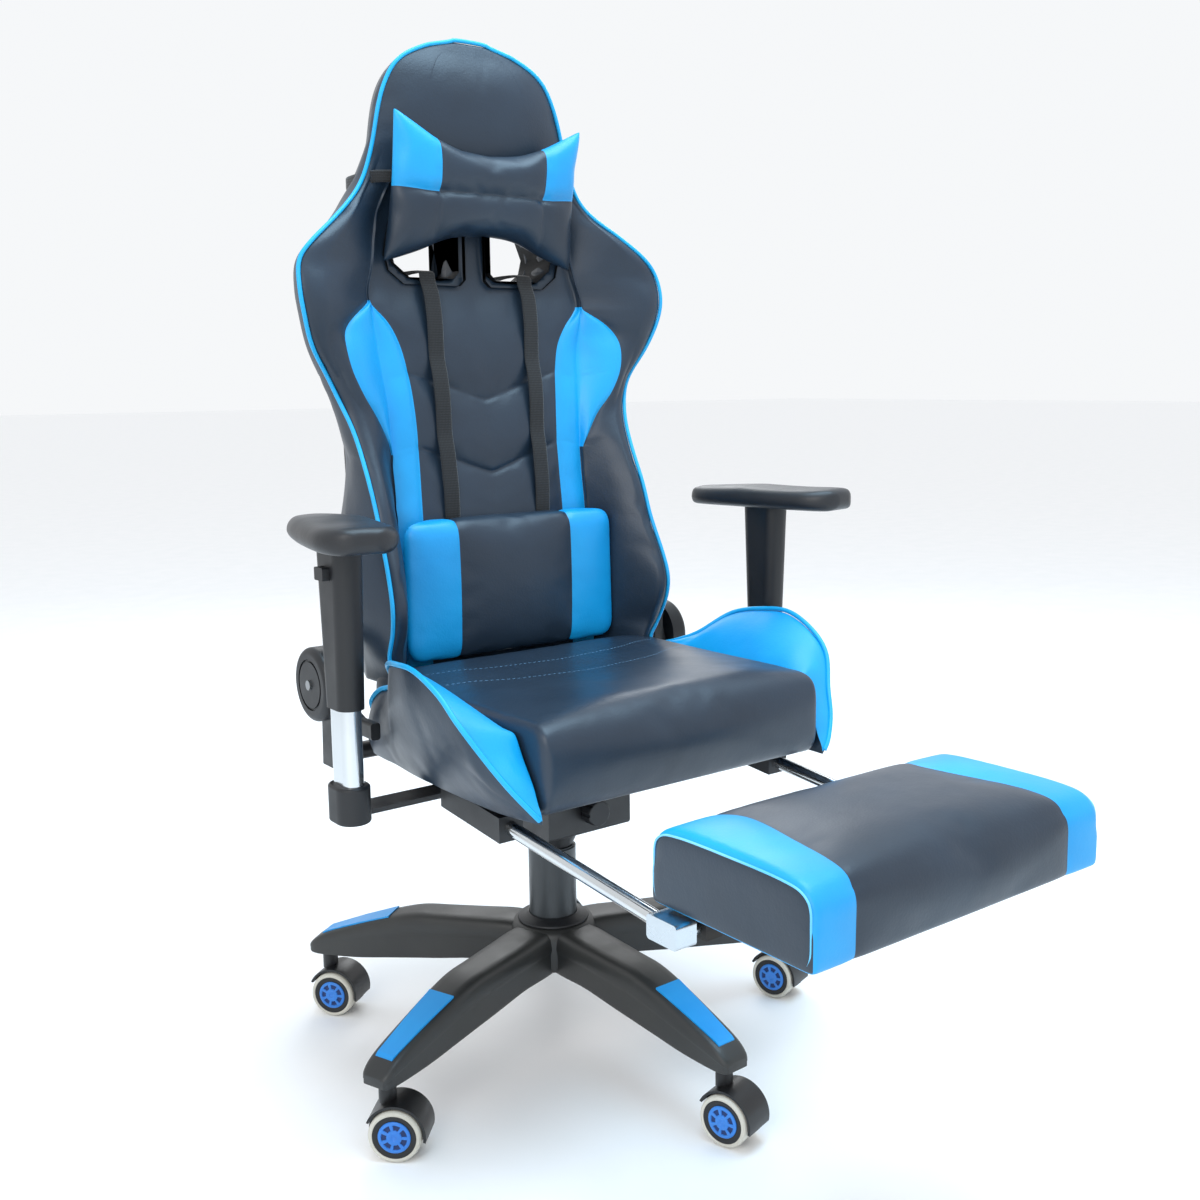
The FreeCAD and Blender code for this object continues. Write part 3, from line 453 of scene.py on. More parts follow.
def webbing(name, deep, pale):
    # woven polyester tape: ribs 1.6 mm apart crossed by finer threads
    material, tree, place = startMaterial(name)
    ribs = addNode(tree, "TexWave", {"Vector": place, "Scale": 98.0},
                   bands_direction="Z")
    threads = addNode(tree, "TexWave", {"Vector": place, "Scale": 150.0},
                      bands_direction="X")
    both = addNode(tree, "Math",
                   {0: ribs.outputs["Fac"], 1: threads.outputs["Fac"]}, operation="MULTIPLY")
    normal = addNode(tree, "Bump", {"Height": both.outputs["Value"],
                                    "Strength": 0.5, "Distance": 0.0006})
    color = addNode(tree, "Mix", {0: both.outputs["Value"], 6: linear(deep),
                                  7: linear(pale)}, data_type="RGBA")
    endMaterial(tree, {"Base Color": color.outputs[2], "Roughness": 0.78,
                       "Normal": normal.outputs["Normal"], "Sheen Weight": 0.3,
                       "Sheen Roughness": 0.5})
    return material


def plywood(name):
    # ply with a black stain: long stretched grain that still shows through
    material, tree, place = startMaterial(name)
    stretched = addNode(tree, "Mapping", {"Vector": place, "Scale": (6.0, 90.0, 90.0)})
    grain = addNode(tree, "TexNoise", {"Vector": stretched.outputs["Vector"],
                                       "Scale": 2.0, "Detail": 6.0})
    share = addNode(tree, "MapRange",
                    {"Value": grain.outputs["Fac"], "From Min": 0.3, "From Max": 0.7})
    color = addNode(tree, "Mix", {0: share.outputs["Result"], 6: linear("#1a1816"),
                                  7: linear("#2b2723")}, data_type="RGBA")
    normal = addNode(tree, "Bump", {"Height": grain.outputs["Fac"],
                                    "Strength": 0.15, "Distance": 0.0005})
    endMaterial(tree, {"Base Color": color.outputs[2], "Roughness": 0.7,
                       "Normal": normal.outputs["Normal"]})
    return material


# the navy tint of both black leather colours is painted blue sheen: it stands in for the cool
# overhead reflection, while the leather itself is black
blackLeatherPaintedSheen = leather("black polyurethane leather with painted blue sheen", "#172635", "#213344", 0.4)
blueLeather = leather("blue polyurethane leather", "#0092d6", "#00aaea", 0.44)
pipingBlue = hardSurface("blue vinyl piping", "#0aa0de", "#16b0ea", 0.38,
                         plastic, relief=500.0, strength=0.05)
paleThread = hardSurface("pale blue sewing thread", "#5f8fb5", "#7eabce", 0.6,
                         plastic, relief=1500.0, strength=0.2)
blueThread = hardSurface("bright sewing thread", "#62c4f7", "#8ad6fb", 0.55,
                         plastic, relief=1500.0, strength=0.2)
padFoam = leather("self-skinned arm foam", "#17191d", "#202329", 0.46)
blackTape = webbing("black polyester tape", "#07080a", "#1a1c21")
nylonBase = hardSurface("glass-filled nylon", "#262829", "#333433", 0.42,
                        plastic, relief=700.0, strength=0.16)
coverPlastic = hardSurface("black polypropylene", "#15171a", "#1d1f23", 0.44, plastic)
hoodPlastic = hardSurface("black caster nylon", "#101113", "#1a1b1e", 0.36, plastic)
bluePlastic = hardSurface("blue gloss inlay", "#0a8cd8", "#109be4", 0.34,
                          plastic, relief=400.0, strength=0.04)
capBlue = hardSurface("blue wheel cap", "#2a74cc", "#3584dc", 0.34,
                      plastic, relief=600.0, strength=0.05)
# painted shade: the dark blue stands in for the shade inside the cap's spoke openings, built here as
# shallow recesses
capWindowShade = hardSurface("deep blue painted window shade", "#0a2a5c", "#0e3570", 0.5, plastic)
treadPale = hardSurface("off-white polyurethane tread", "#b9b6ab", "#d2cfc4", 0.45,
                        plastic, relief=300.0, strength=0.1)
ringBlack = hardSurface("black wheel disc", "#0d0e10", "#17181a", 0.35, plastic)
blackSteel = hardSurface("black powder coat", "#131416", "#1c1d20", 0.45, powder)
columnPaint = hardSurface("grey-black stove enamel", "#2a2f33", "#343a3e", 0.38, powder)
brightChrome = hardSurface("bright chrome tube", "#c9cdd0", "#dde1e3", 0.1, chrome)
castChrome = hardSurface("satin chrome casting", "#b7bfc6", "#ccd3d8", 0.22, chrome)
zincSteel = hardSurface("zinc-plated steel", "#8f9294", "#a8abad", 0.3, chrome)
boardWood = plywood("stained plywood")

cadFinishes = {
    nylonBase: ["star_base"],
    bluePlastic: ["base_inserts"],
    columnPaint: ["gas_cylinder", "lift_cover_lower", "lift_cover_upper"],
    brightChrome: ["gas_rod", "arm_post_left", "arm_post_right", "footrest_tubes"],
    castChrome: ["footrest_pivot_blocks"],
    zincSteel: ["tilt_spring", "fasteners"],
    blackSteel: ["tilt_housing", "tilt_plate", "seat_frame", "height_lever", "arm_bracket_left",
                 "arm_bracket_right", "recliner_plates", "recline_lever", "back_frame"],
    coverPlastic: ["tension_knob", "recliner_cover_left", "recliner_cover_right",
                   "footrest_guides", "arm_socket_left", "arm_socket_right",
                   "arm_button_left", "arm_button_right", "arm_sleeve_left",
                   "arm_sleeve_right", "harness_bezels"],
    blackTape: ["lumbar_straps", "head_strap"],
    boardWood: ["footrest_board"],
}
for k in range(1, 6):
    cadFinishes[zincSteel].append(f"caster_{k}_pins")
    cadFinishes[hoodPlastic] = cadFinishes.get(hoodPlastic, []) + [f"caster_{k}_hood"]
for material, names in cadFinishes.items():
    for name in names:
        for place in nodes[name].material_slots:
            place.material = material
print("materials made")

floorMaterial = hardSurface("pale floor", "#f7f8f9", "#fbfbfc", 0.7,
                            plastic, relief=40.0, strength=0.02)
floorMesh = bmesh.new()
bmesh.ops.create_grid(floorMesh, x_segments=1, y_segments=1, size=40)
floor = addMesh("floor", floorMesh)
floor.data.materials.append(floorMaterial)


# Heights are millimetres above the recliner pivot, and widths are half widths.
aboveTip = [(455, 157), (500, 149), (550, 140), (590, 126), (640, 90), (700, 72), (757, 48),
            (778, 11)]
back = {
    "edge": [(12, 196), (32, 204), (61, 206), (94, 207), (174, 202), (219, 202), (265, 202),
             (302, 205), (338, 215), (364, 226), (400, 248), (437, 261), (467, 266), (499, 262),
             (520, 245), (547, 212), (577, 176), (600, 158), (640, 143), (691, 131), (719, 121),
             (742, 107), (757, 88), (767, 66), (774, 40), (778, 22)],
    "edgeY": [(12, 40), (35, 33), (64, 19), (94, 15), (127, 25), (174, 46), (219, 63), (265, 86),
              (302, 104), (338, 119), (364, 122), (400, 113), (437, 102), (467, 100), (499, 106),
              (520, 107), (547, 118), (577, 139), (600, 146), (691, 149), (760, 149), (778, 152)],
    "side": [(12, 200), (32, 206), (61, 226), (92, 233), (139, 234), (195, 212), (262, 196),
             (299, 199), (335, 206), (361, 215), (397, 231), (434, 241), (464, 245), (496, 241),
             (517, 226), (544, 198), (574, 172), (597, 156), (640, 142), (688, 131), (716, 121),
             (739, 107), (757, 88), (770, 58), (778, 22)],
    "middleY": [(12, 97), (35, 97), (64, 100), (95, 104), (142, 111), (198, 116), (265, 122),
                (302, 126), (338, 131), (364, 135), (400, 141), (437, 146), (467, 155), (499, 160),
                (547, 163), (577, 160), (600, 153), (643, 145), (691, 140), (719, 140), (742, 142),
                (760, 146), (778, 150)],
    "inner": [(12, 110), (197, 108), (251, 107), (291, 107), (331, 109), (369, 113), (405, 121),
              (432, 136)] + aboveTip,
    "middle": [(12, 146), (28, 146), (158, 145), (263, 144), (331, 145), (398, 150)] + aboveTip,
    "outer": [(12, 146), (158, 145), (262, 145), (283, 151), (314, 167), (340, 186), (371, 201),
              (401, 206), (420, 202), (439, 182)] + aboveTip,
    "seamLift": [(12, 3), (158, 0), (263, 2), (331, -3), (398, -5), (455, -12), (500, -14),
                 (550, -12), (590, -8), (640, -2), (778, 0)],
    "outerY": [(12, 103), (158, 112), (262, 122), (283, 116), (314, 113), (340, 106), (371, 105),
               (401, 110), (420, 119), (439, 127), (455, 141), (500, 146), (550, 151), (590, 148),
               (640, 143), (700, 140), (760, 146), (778, 150)],
    "crestDrop": [(12, 3), (270, 4), (314, 6), (340, 11), (371, 11), (401, 7), (440, 5), (500, 4),
                  (600, 2), (778, 0)],
    "tip": 455, "neck": 590, "top": 778, "panelStart": 268, "chevrons": (370, 276), "chevronRise": 37,
    "rearStart": 155, "rearSlope": 0.105,
}
pivot = pivotOf("recline")


def backAt(x, y, height):
    return Vector((x * mm, y * mm, pivot.z + height * mm))


def rearOf(height):
    return back["rearStart"] + (height - 18) * back["rearSlope"]


def backHeights():
    marks = {-8, -4, 3, 12, 771, 775, 778, back["tip"], back["panelStart"]}
    marks.update(range(21, 771, 9))
    for chevron in back["chevrons"]:
        marks = {m for m in marks if abs(m - chevron) > 6}
        marks.update((chevron - 6, chevron - 2.5, chevron, chevron + 2.5, chevron + 6))
    return sorted(marks)


def panelSteps(count):
    # shares across one sewn panel, close together beside its two seams
    return [0.0] + [0.09 + 0.82 * k / count for k in range(count + 1)]


def backStations(height):
    # the corners of one level of the cushion: centre, seams, crest, piping, side and rear
    inner, middle, outer = (readCurve(back[k], height) for k in ("inner", "middle", "outer"))
    middle = max(middle, inner + 1.5)
    outer = max(outer, middle + 1.5)
    edge, side = readCurve(back["edge"], height), readCurve(back["side"], height)
    edge = max(edge, outer + 3)
    edgeY, centreY = readCurve(back["edgeY"], height), readCurve(back["middleY"], height)
    seamY = centreY + readCurve(back["seamLift"], height)
    rear = rearOf(height)
    crestX = max(middle + 0.72 * (edge - middle), outer + 0.5 * (edge - outer))
    # the head is rounder behind than the shoulders
    head = fraction((height - back["neck"]) / 60)
    return [(0, centreY), (inner, (centreY + seamY) / 2), (middle, seamY),
            (outer, readCurve(back["outerY"], height)),
            (crestX, edgeY - readCurve(back["crestDrop"], height)), (edge, edgeY),
            (side * blendTo(1.0, 0.975, head), (edgeY + rear) / 2 + blendTo(8, -14, head)),
            (side * blendTo(0.9, 0.8, head), rear), (0, rear)]


# columns and swell of each sewn panel, from the middle of the front round to the rear
panels = [(10, 5.0), (3, 3.0), (4, 3.5), (3, 1.5), (3, 3.0), (4, 4.0), (3, 3.0), (5, 0.0)]


def backColumns():
    # (panel, share) for each column from the middle of the front round to the rear
    columns = []
    for panel, (count, _) in enumerate(panels):
        columns += [(panel, share) for share in panelSteps(count)]
    return columns + [(len(panels) - 1, 1.0)]


def buildBackCushion():
    heights, columns = backHeights(), backColumns()
    half = len(columns) - 1
    tip, start = back["tip"], back["panelStart"]

    def columnOf(key):
        across = round(key.x) - half
        return columns[abs(across)], (1 if across >= 0 else -1)

    def place(key):
        (panel, share), side = columnOf(key)
        height = heights[round(key.y)]
        stations = backStations(height)
        (x0, y0), (x1, y1) = stations[panel], stations[panel + 1]
        x, y = blendTo(x0, x1, share), blendTo(y0, y1, share)
        ends = fraction((height + 8) / 40, (back["top"] - height) / 60)
        crown = panels[panel][1] * math.sin(math.pi * share) * ends
        drop = 0.0
        # the sewn panels fade out at the neck, and the head is one smooth swell
        head = fraction((height - back["neck"]) / 50)
        if panel == 0:
            crown = panels[0][1] * math.cos(math.pi * share / 2) * ends
            fade = fraction((height - 160) / 70, (470 - height) / 60)
            for chevron in back["chevrons"]:
                away = abs(height - chevron)
                crown -= (3.2 * math.exp(-(away / 3) ** 2) + 2.4 * math.exp(-(away / 16) ** 2))
            drop = back["chevronRise"] * (1 - share) * fade
            # the leather is drawn in under the rims of the two openings
            drawn = fraction((height - 445) / 25, (600 - height) / 20)
            crown = blendTo(crown, -1.0, drawn)
        if panel < 5:
            swell = 7.0 * (1 - (x / stations[5][0]) ** 2) * ends
            crown = blendTo(crown, swell, head)
            dome = blendTo(stations[0][1], stations[5][1], (x / stations[5][0]) ** 4)
            y = blendTo(y, dome, head)
        if panel >= 5:
            normal = Vector((y1 - y0, x0 - x1))
            normal = normal.normalized() if normal.length > 0 else Vector((1, 0))
            x += -normal.x * crown if normal.x < 0 else normal.x * crown
        else:
            y -= crown
        seamed = share == 0 and panel in (1, 2, 3, 5) and height < 600
        if panel == 3 and not start < height < tip:
            seamed = False
        if seamed:
            y += 2.2
        return backAt(side * x, y, height - drop)

    def kind(key):
        panel = columns[min(abs(int(key.x - half)), half)][0]
        height = heights[int(key.y)]
        if panel == 1 and height < tip:
            return 1
        return 1 if panel == 2 and start <= height < tip else 0

    def seam(key):
        (panel, share), _ = columnOf(key)
        height = heights[round(key.y)]
        pinned = share == 0 and (panel == 5 or panel in (1, 2, 3) and height < 600)
        channel = min(abs(height - c) for c in back["chevrons"]) < 1
        pinned = pinned or panel == 0 and (channel or 470 < height < 585)
        return 1.0 if pinned or panel >= 6 or height < 20 or height > 750 else 0.0

    mesh = shapeMesh(gridSheet(2 * half, len(heights) - 1), place, kind, seam)
    closeEnds(mesh)
    piece = makePiece("backCover", mesh, "back", [blackLeatherPaintedSheen, blueLeather],
                      ["back_cushion"])
    puff(piece, 2.0, 0.004, 0.004)
    return piece


holes = {"inner": 27, "outer": 118, "low": 490, "high": 562, "corner": 16, "rim": 12, "wall": 3}


def holeCorners(grow):
    inner, outer = holes["inner"] - grow, holes["outer"] + grow
    low, high, c = holes["low"] - grow, holes["high"] + grow, holes["corner"]
    return [(inner + c * 0.5, low), (outer - c * 1.6, low), (outer - c * 0.3, low + c),
            (outer, low + c * 2.2), (outer - c * 0.6, high - c * 1.2), (outer - c * 2, high),
            (inner + c * 0.5, high), (inner, high - c * 0.5), (inner, low + c * 0.5)]


def pushBack(mesh, faces, depth):
    # gives flat faces their depth towards the rear, in millimetres
    pushed = bmesh.ops.extrude_face_region(mesh, geom=faces)
    moved = [item for item in pushed["geom"] if isinstance(item, bmesh.types.BMVert)]
    bmesh.ops.translate(mesh, verts=moved, vec=(0, depth * mm, 0))
    bmesh.ops.recalc_face_normals(mesh, faces=mesh.faces)
    return mesh


def holePrism(grow, front, rear):
    mesh = bmesh.new()
    face = mesh.faces.new([mesh.verts.new(backAt(x, front, h)) for x, h in holeCorners(grow)])
    return pushBack(mesh, [face], rear - front)


def cutHoles(piece):
    # opens both harness holes through a cover
    cutter = holePrism(holes["wall"] + 0.5, 40, 330)
    both = joinMeshes([mirrored(cutter), cutter])
    tool = addMesh("cutter", both)
    cut = piece.modifiers.new("Holes", "BOOLEAN")
    cut.operation = "DIFFERENCE"
    cut.solver = "EXACT"
    cut.object = tool
    opened = finishedMesh(piece)
    piece.modifiers.remove(cut)
    piece.data = opened
    bpy.data.objects.remove(tool)


def buildRearCover():
    # the padded panel on the back of the foam
    heights = [h for h in backHeights() if 30 < h < 762][::2]
    steps = [0.0, 0.02, 0.05, 0.09, 0.16, 0.3, 0.45]
    shares = steps + [1 - s for s in steps[::-1]]
    low, high = heights[0], heights[-1]

    def place(key):
        share, height = shares[round(key.x) % len(shares)], heights[round(key.y)]
        head = fraction((height - back["neck"]) / 60)
        half = readCurve(back["side"], height) * blendTo(0.9, 0.8, head) - 3
        rim = min(1.0, min(share, 1 - share) * 14)
        end = fraction((height - low) / 12, (high - height) / 12)
        depth = 12.0 * math.sqrt((1 - (1 - rim) ** 2) * (1 - (1 - end) ** 2))
        front = round(key.x) >= len(shares)
        y = rearOf(height) + (0.5 if front else max(depth, 0.5))
        x = (1 - 2 * share) * half
        return backAt(-x if front else x, y, height)

    mesh = shapeMesh(gridSheet(2 * len(shares) - 1, len(heights) - 1), place)
    closeEnds(mesh)
    piece = makePiece("rearCover", mesh, "back", [blackLeatherPaintedSheen], ["back_shell"])
    return piece


def buildPiping(name, points, radius, body):
    makePiece(name, tubeAlong(points, radius), body, [pipingBlue])


backCover = buildBackCushion()
cutHoles(backCover)
smoothOver(backCover)
rearCover = buildRearCover()
cutHoles(rearCover)
smoothOver(rearCover)
pipingLine = []
for height in [-6, 4] + list(range(12, 770, 12)) + [771, 777, 780]:
    pipingLine.append((readCurve(back["edge"], height) + 1, readCurve(back["edgeY"], height) - 1,
                       height))
left = [backAt(x, y, h) for x, y, h in pipingLine]
right = [backAt(-x, y, h) for x, y, h in pipingLine[::-1]]
buildPiping("backPiping", left + right, 0.0026, "back")
print("back cushion built")


def frameRing(side, grow, wall, front, depth):
    # one closed frame round an opening, pushed back by its depth
    mesh = bmesh.new()
    outline = [mesh.verts.new(backAt(x * side, front, h)) for x, h in holeCorners(grow)]
    face = mesh.faces.new(outline)
    bmesh.ops.inset_region(mesh, faces=[face], thickness=wall * mm, use_boundary=True,
                           use_even_offset=True)
    inner = max(mesh.faces, key=lambda f: len(f.verts))
    bmesh.ops.delete(mesh, geom=[inner], context="FACES_ONLY")
    return pushBack(mesh, mesh.faces[:], depth)


def buildBezel():
    # a rim with a rounded lip in front, a liner through the back and a narrower rear rim
    low, high = span("harness_bezels")
    front, rear = low.y / mm, high.y / mm
    parts = []
    for side in (1, -1):
        parts.append(frameRing(side, holes["rim"], holes["rim"], front, 8))
        parts.append(frameRing(side, holes["wall"], holes["wall"], front + 2, rear - front - 3))
        parts.append(frameRing(side, holes["rim"] - 4, holes["rim"] - 4, rear - 5, 5))
    piece = makePiece("bezels", joinMeshes(parts), "back", [coverPlastic],
                      ["harness_bezels"])
    bevelOver(piece, 0.0022, 3)


headPillow = {"topHalf": 139, "lowHalf": 142, "depth": 26, "blueFrom": 78}


def buildHeadPillow():
    p = headPillow
    top = [(0, 638), (45, 643), (80, 654), (110, 669), (137, 683)]
    bottom = [(0, 538), (50, 532), (95, 514), (140, 499)]
    seamAt = p["blueFrom"] / p["topHalf"]
    cuts = sorted(evenly(34) + [s * (seamAt + w) for w in (-0.03, 0, 0.03) for s in (1, -1)])
    rises = sorted(set(evenly(18) + [0.03, -0.03]) - {0.0}) + [0.0]
    mesh = gridBlock((cuts, (), sorted(rises)))

    def place(key):
        a, c = key.x, key.z
        rise = (c + 1) / 2
        waist = 1 - 0.035 * math.sin(math.pi * min(1, max(0, rise)))
        x = a * blendTo(p["lowHalf"], p["topHalf"], rise) * waist
        z = blendTo(readCurve(bottom, abs(x)), readCurve(top, abs(x)), rise)
        bulge = (max(0.0, 1 - a ** 4) * max(0.0, 1 - c ** 4)) ** 0.5
        beside = math.exp(-((abs(a) - seamAt) / 0.05) ** 2)
        bulge *= 1 - 0.22 * math.exp(-(c / 0.09) ** 2) - 0.1 * beside
        middle = readCurve([(500, 139), (590, 122), (640, 113), (680, 103)], z)
        depth = p["depth"] * bulge
        rear = min(16.0, depth * 0.7)
        y = middle - depth if key.y < 0 else middle + rear
        return backAt(x, y, z)

    def kind(key):
        return 1 if key.z > 0 and abs(key.x) > seamAt and key.y < 0.5 else 0

    def seam(key):
        rim = abs(key.x) > 0.999 or abs(key.z) > 0.999
        beside = abs(abs(key.x) - seamAt) < 0.001 and key.z > 0
        stitched = key.y < 0 and (abs(key.z) < 0.001 or beside)
        return 1.0 if rim or stitched or key.y > 0 else 0.0

    piece = makePiece("neckPillow", shapeMesh(mesh, place, kind, seam), "back",
                      [blackLeatherPaintedSheen, blueLeather], ["head_pillow"])
    puff(piece, 4.0, 0.008, 0.012)
    smoothOver(piece)


lumbar = {"half": 157, "low": 12, "high": 187, "front": 62, "seam": 84, "radius": 22}


def buildLumbarPillow():
    p = lumbar
    seamAt = p["seam"] / p["half"]
    beside = 4.0 / p["half"]
    cuts = evenly(30) + [s * (seamAt + k * beside) for s in (1, -1) for k in (-1, 0, 1)]
    mesh = gridBlock((sorted(cuts), evenly(8), evenly(18)))

    def place(key):
        radius = (p["radius"], 20, p["radius"])
        half = (p["half"], 30, (p["high"] - p["low"]) / 2)
        point = roundCorner(key, half, radius)
        height = (p["high"] + p["low"]) / 2 + point.z
        rear = readCurve(back["middleY"], height) - 6
        depth = (point.y + 30) / 60
        swell = 5 * (1 - key.x ** 2) * (1 - key.z ** 2)
        dent = 2.0 * math.exp(-((abs(key.x) - seamAt) * p["half"] / 3.5) ** 2)
        front = p["front"] + 5 - swell + dent
        y = blendTo(front, rear, depth)
        # the ends turn back to clear the side bolsters
        if abs(point.x) > 118:
            y = min(y, 78 + 18 * (132 - min(132, abs(point.x))) / 14)
        return backAt(point.x, y, height - dent * math.copysign(1, key.z) * (abs(key.z) > 0.99))

    def kind(key):
        return 1 if abs(key.x) > seamAt else 0

    def seam(key):
        stitched = abs(abs(key.x) - seamAt) < 0.001 or abs(key.x) > 0.999
        return 1.0 if stitched or key.y > 0.5 else 0.0

    piece = makePiece("lumbarPad", shapeMesh(mesh, place, kind, seam), "back",
                      [blackLeatherPaintedSheen, blueLeather], ["lumbar_pillow"])
    puff(piece, 3.0, 0.006, 0.003)
    smoothOver(piece)


def tapeAlong(points, width):
    # flat tape: points run along its middle and it lies across X
    mesh = bmesh.new()
    bmesh.ops.create_grid(mesh, x_segments=4, y_segments=len(points) - 1, size=1)
    count = len(points) - 1
    for vert in mesh.verts:
        point = points[round((vert.co.y + 1) / 2 * count)]
        vert.co = Vector((point.x + vert.co.x * width / 2, point.y, point.z))
    bmesh.ops.recalc_face_normals(mesh, faces=mesh.faces)
    return mesh


def buildLumbarStraps(surface):
    # two tapes from the lumbar pad up over the lower bar of each bezel
    parts = []
    top = holes["low"]
    for side in (1, -1):
        levels = list(range(182, 480, 12))
        reach = [side * (69 + 4 * (height - 182) / 300) for height in levels]
        felt = []
        for x, height in zip(reach, levels):
            hit = surface.ray_cast(backAt(x, -60, height), Vector((0, 1, 0)))[0]
            felt.append(hit.y / mm - 1.6 if hit else readCurve(back["middleY"], height) - 8)
        # pulled tight, the tape spans the channels and touches only the crests
        tight = [min(felt[max(0, k - 3):k + 4]) for k in range(len(felt))]
        points = [backAt(x, y, height) for x, y, height in zip(reach, tight, levels)]
        lip = span("harness_bezels")[0].y / mm - 2.0
        x = points[-1].x / mm
        points += [backAt(x, lip, 482), backAt(x, lip, top + 2), backAt(x, lip + 3, top + 5),
                   backAt(x, lip + 14, top + 6), backAt(x, rearOf(top) + 8, top + 6),
                   backAt(x, rearOf(top) + 19, top + 3)]
        parts.append(tapeAlong(points, 0.023))
    piece = makePiece("lumbarTapes", joinMeshes(parts), "back", [blackTape],
                      ["lumbar_straps"])
    thicken(piece, 0.0015)
    smoothOver(piece)


def buildHeadStrap():
    # the elastic band that holds the neck pillow, round the back of the neck
    low, high = span("head_strap")
    mesh = bmesh.new()
    bmesh.ops.create_grid(mesh, x_segments=48, y_segments=3, size=1)
    middle = (low + high) / 2
    halfX = (readCurve(back["edge"], 612) + 1.5) * mm
    front, rear = 0.124, high.y - 0.004
    for vert in mesh.verts:
        turn = vert.co.x * math.pi * 0.86
        x = halfX * math.copysign(abs(math.sin(turn)) ** 0.5, math.sin(turn))
        depth = math.copysign(abs(math.cos(turn)) ** 0.5, math.cos(turn))
        y = blendTo(front, rear, 0.5 + 0.5 * depth)
        vert.co = Vector((x, y, middle.z - 0.01 + vert.co.y * 0.0075 - 0.003 * math.cos(turn)))
    piece = makePiece("neckBand", mesh, "back", [blackTape], ["head_strap"])
    thicken(piece, 0.0018)
    smoothOver(piece)


buildBezel()
buildHeadPillow()
buildLumbarPillow()
buildLumbarStraps(surfaceOf(backCover))
buildHeadStrap()
print("pillows and tapes built")


seat = {"radius": 26, "sideRadius": 7, "crown": 7, "lip": 24, "lipReach": 70}
seatLow, seatHigh = span("seat_cushion")


def buildSeatCushion():
    low, high = seatLow, seatHigh
    half = (high - low) / 2
    middle = (high + low) / 2
    flat = low.z + seat["lip"] * mm
    thick = high.z - flat
    mesh = gridBlock((sorted(evenly(34) + [0.965, -0.965]), evenly(34), evenly(10)))

    def place(key):
        radius = (seat["sideRadius"] * mm, seat["radius"] * mm, 24 * mm)
        point = roundCorner(key, half, radius)
        y = middle.y + point.y
        share = (point.z + half.z) / (2 * half.z)
        reach = fraction((low.y + seat["lipReach"] * mm - y) / 0.03)
        bottom = flat - seat["lip"] * mm * reach
        across = max(0.0, 1 - key.x ** 4)
        crown = seat["crown"] * mm * across * (0.35 + 0.65 * max(0, -key.y))
        dip = 4 * mm * across * math.exp(-((key.y - 0.1) / 0.4) ** 2)
        z = blendTo(bottom, flat + thick + crown - dip - 0.001, share)
        if key.y < 0:
            y -= 2 * mm * across * max(0, 1 - key.z ** 2)
        return Vector((point.x * (1 - 0.012 * reach), y, z))

    def seam(key):
        return 1.0 if abs(key.x) > 0.96 or key.z < -0.99 or key.y > 0.99 else 0.0

    piece = makePiece("seatCover", shapeMesh(mesh, place, None, seam), "seat",
                      [blackLeatherPaintedSheen], ["seat_cushion"])
    puff(piece, 2.0, 0.006, 0.002)
    smoothOver(piece)
    return piece


def buildSeatStitches(surface):
    # two bowed lines across the seat
    down = Vector((0, 0, -1))
    parts = []
    for y, bow in ((-96, 30), (-28, 22)):
        line = []
        for k in range(-10, 11):
            share = k / 10
            dip = bow * (1 - abs(share)) ** 0.8 - 18 * max(0.0, abs(share) - 0.55) / 0.45
            line.append(Vector((share * 178 * mm, (y - dip + bow) * mm, seatHigh.z)))
        parts.append(stitchRow(surface, line, down))
    makePiece("seatStitches", joinMeshes(parts), "seat", [paleThread])


# Each row: y, piping reach outside the seat, piping height, belly reach. All from the seat's
# outer face and its lower edge.
wingRows = [(-282, 2, 4, 2), (-279, 12, 16, 8), (-266, 29, 40, 20), (-247, 44, 68, 33),
            (-226, 62, 104, 44), (-198, 67, 129, 50), (-154, 70, 147, 54), (-112, 67, 147, 54),
            (-62, 53, 137, 48), (-24, 26, 108, 36), (8, 15, 94, 28), (40, 12, 84, 26),
            (66, 10, 66, 20), (72, 4, 50, 12)]


wingInner = seatHigh.x + 0.0006  # just clear of the seat's side


def wingRow(at):
    y, edge, rise, belly = throughRows(wingRows, at)
    return y * mm, edge * mm, rise * mm, belly * mm


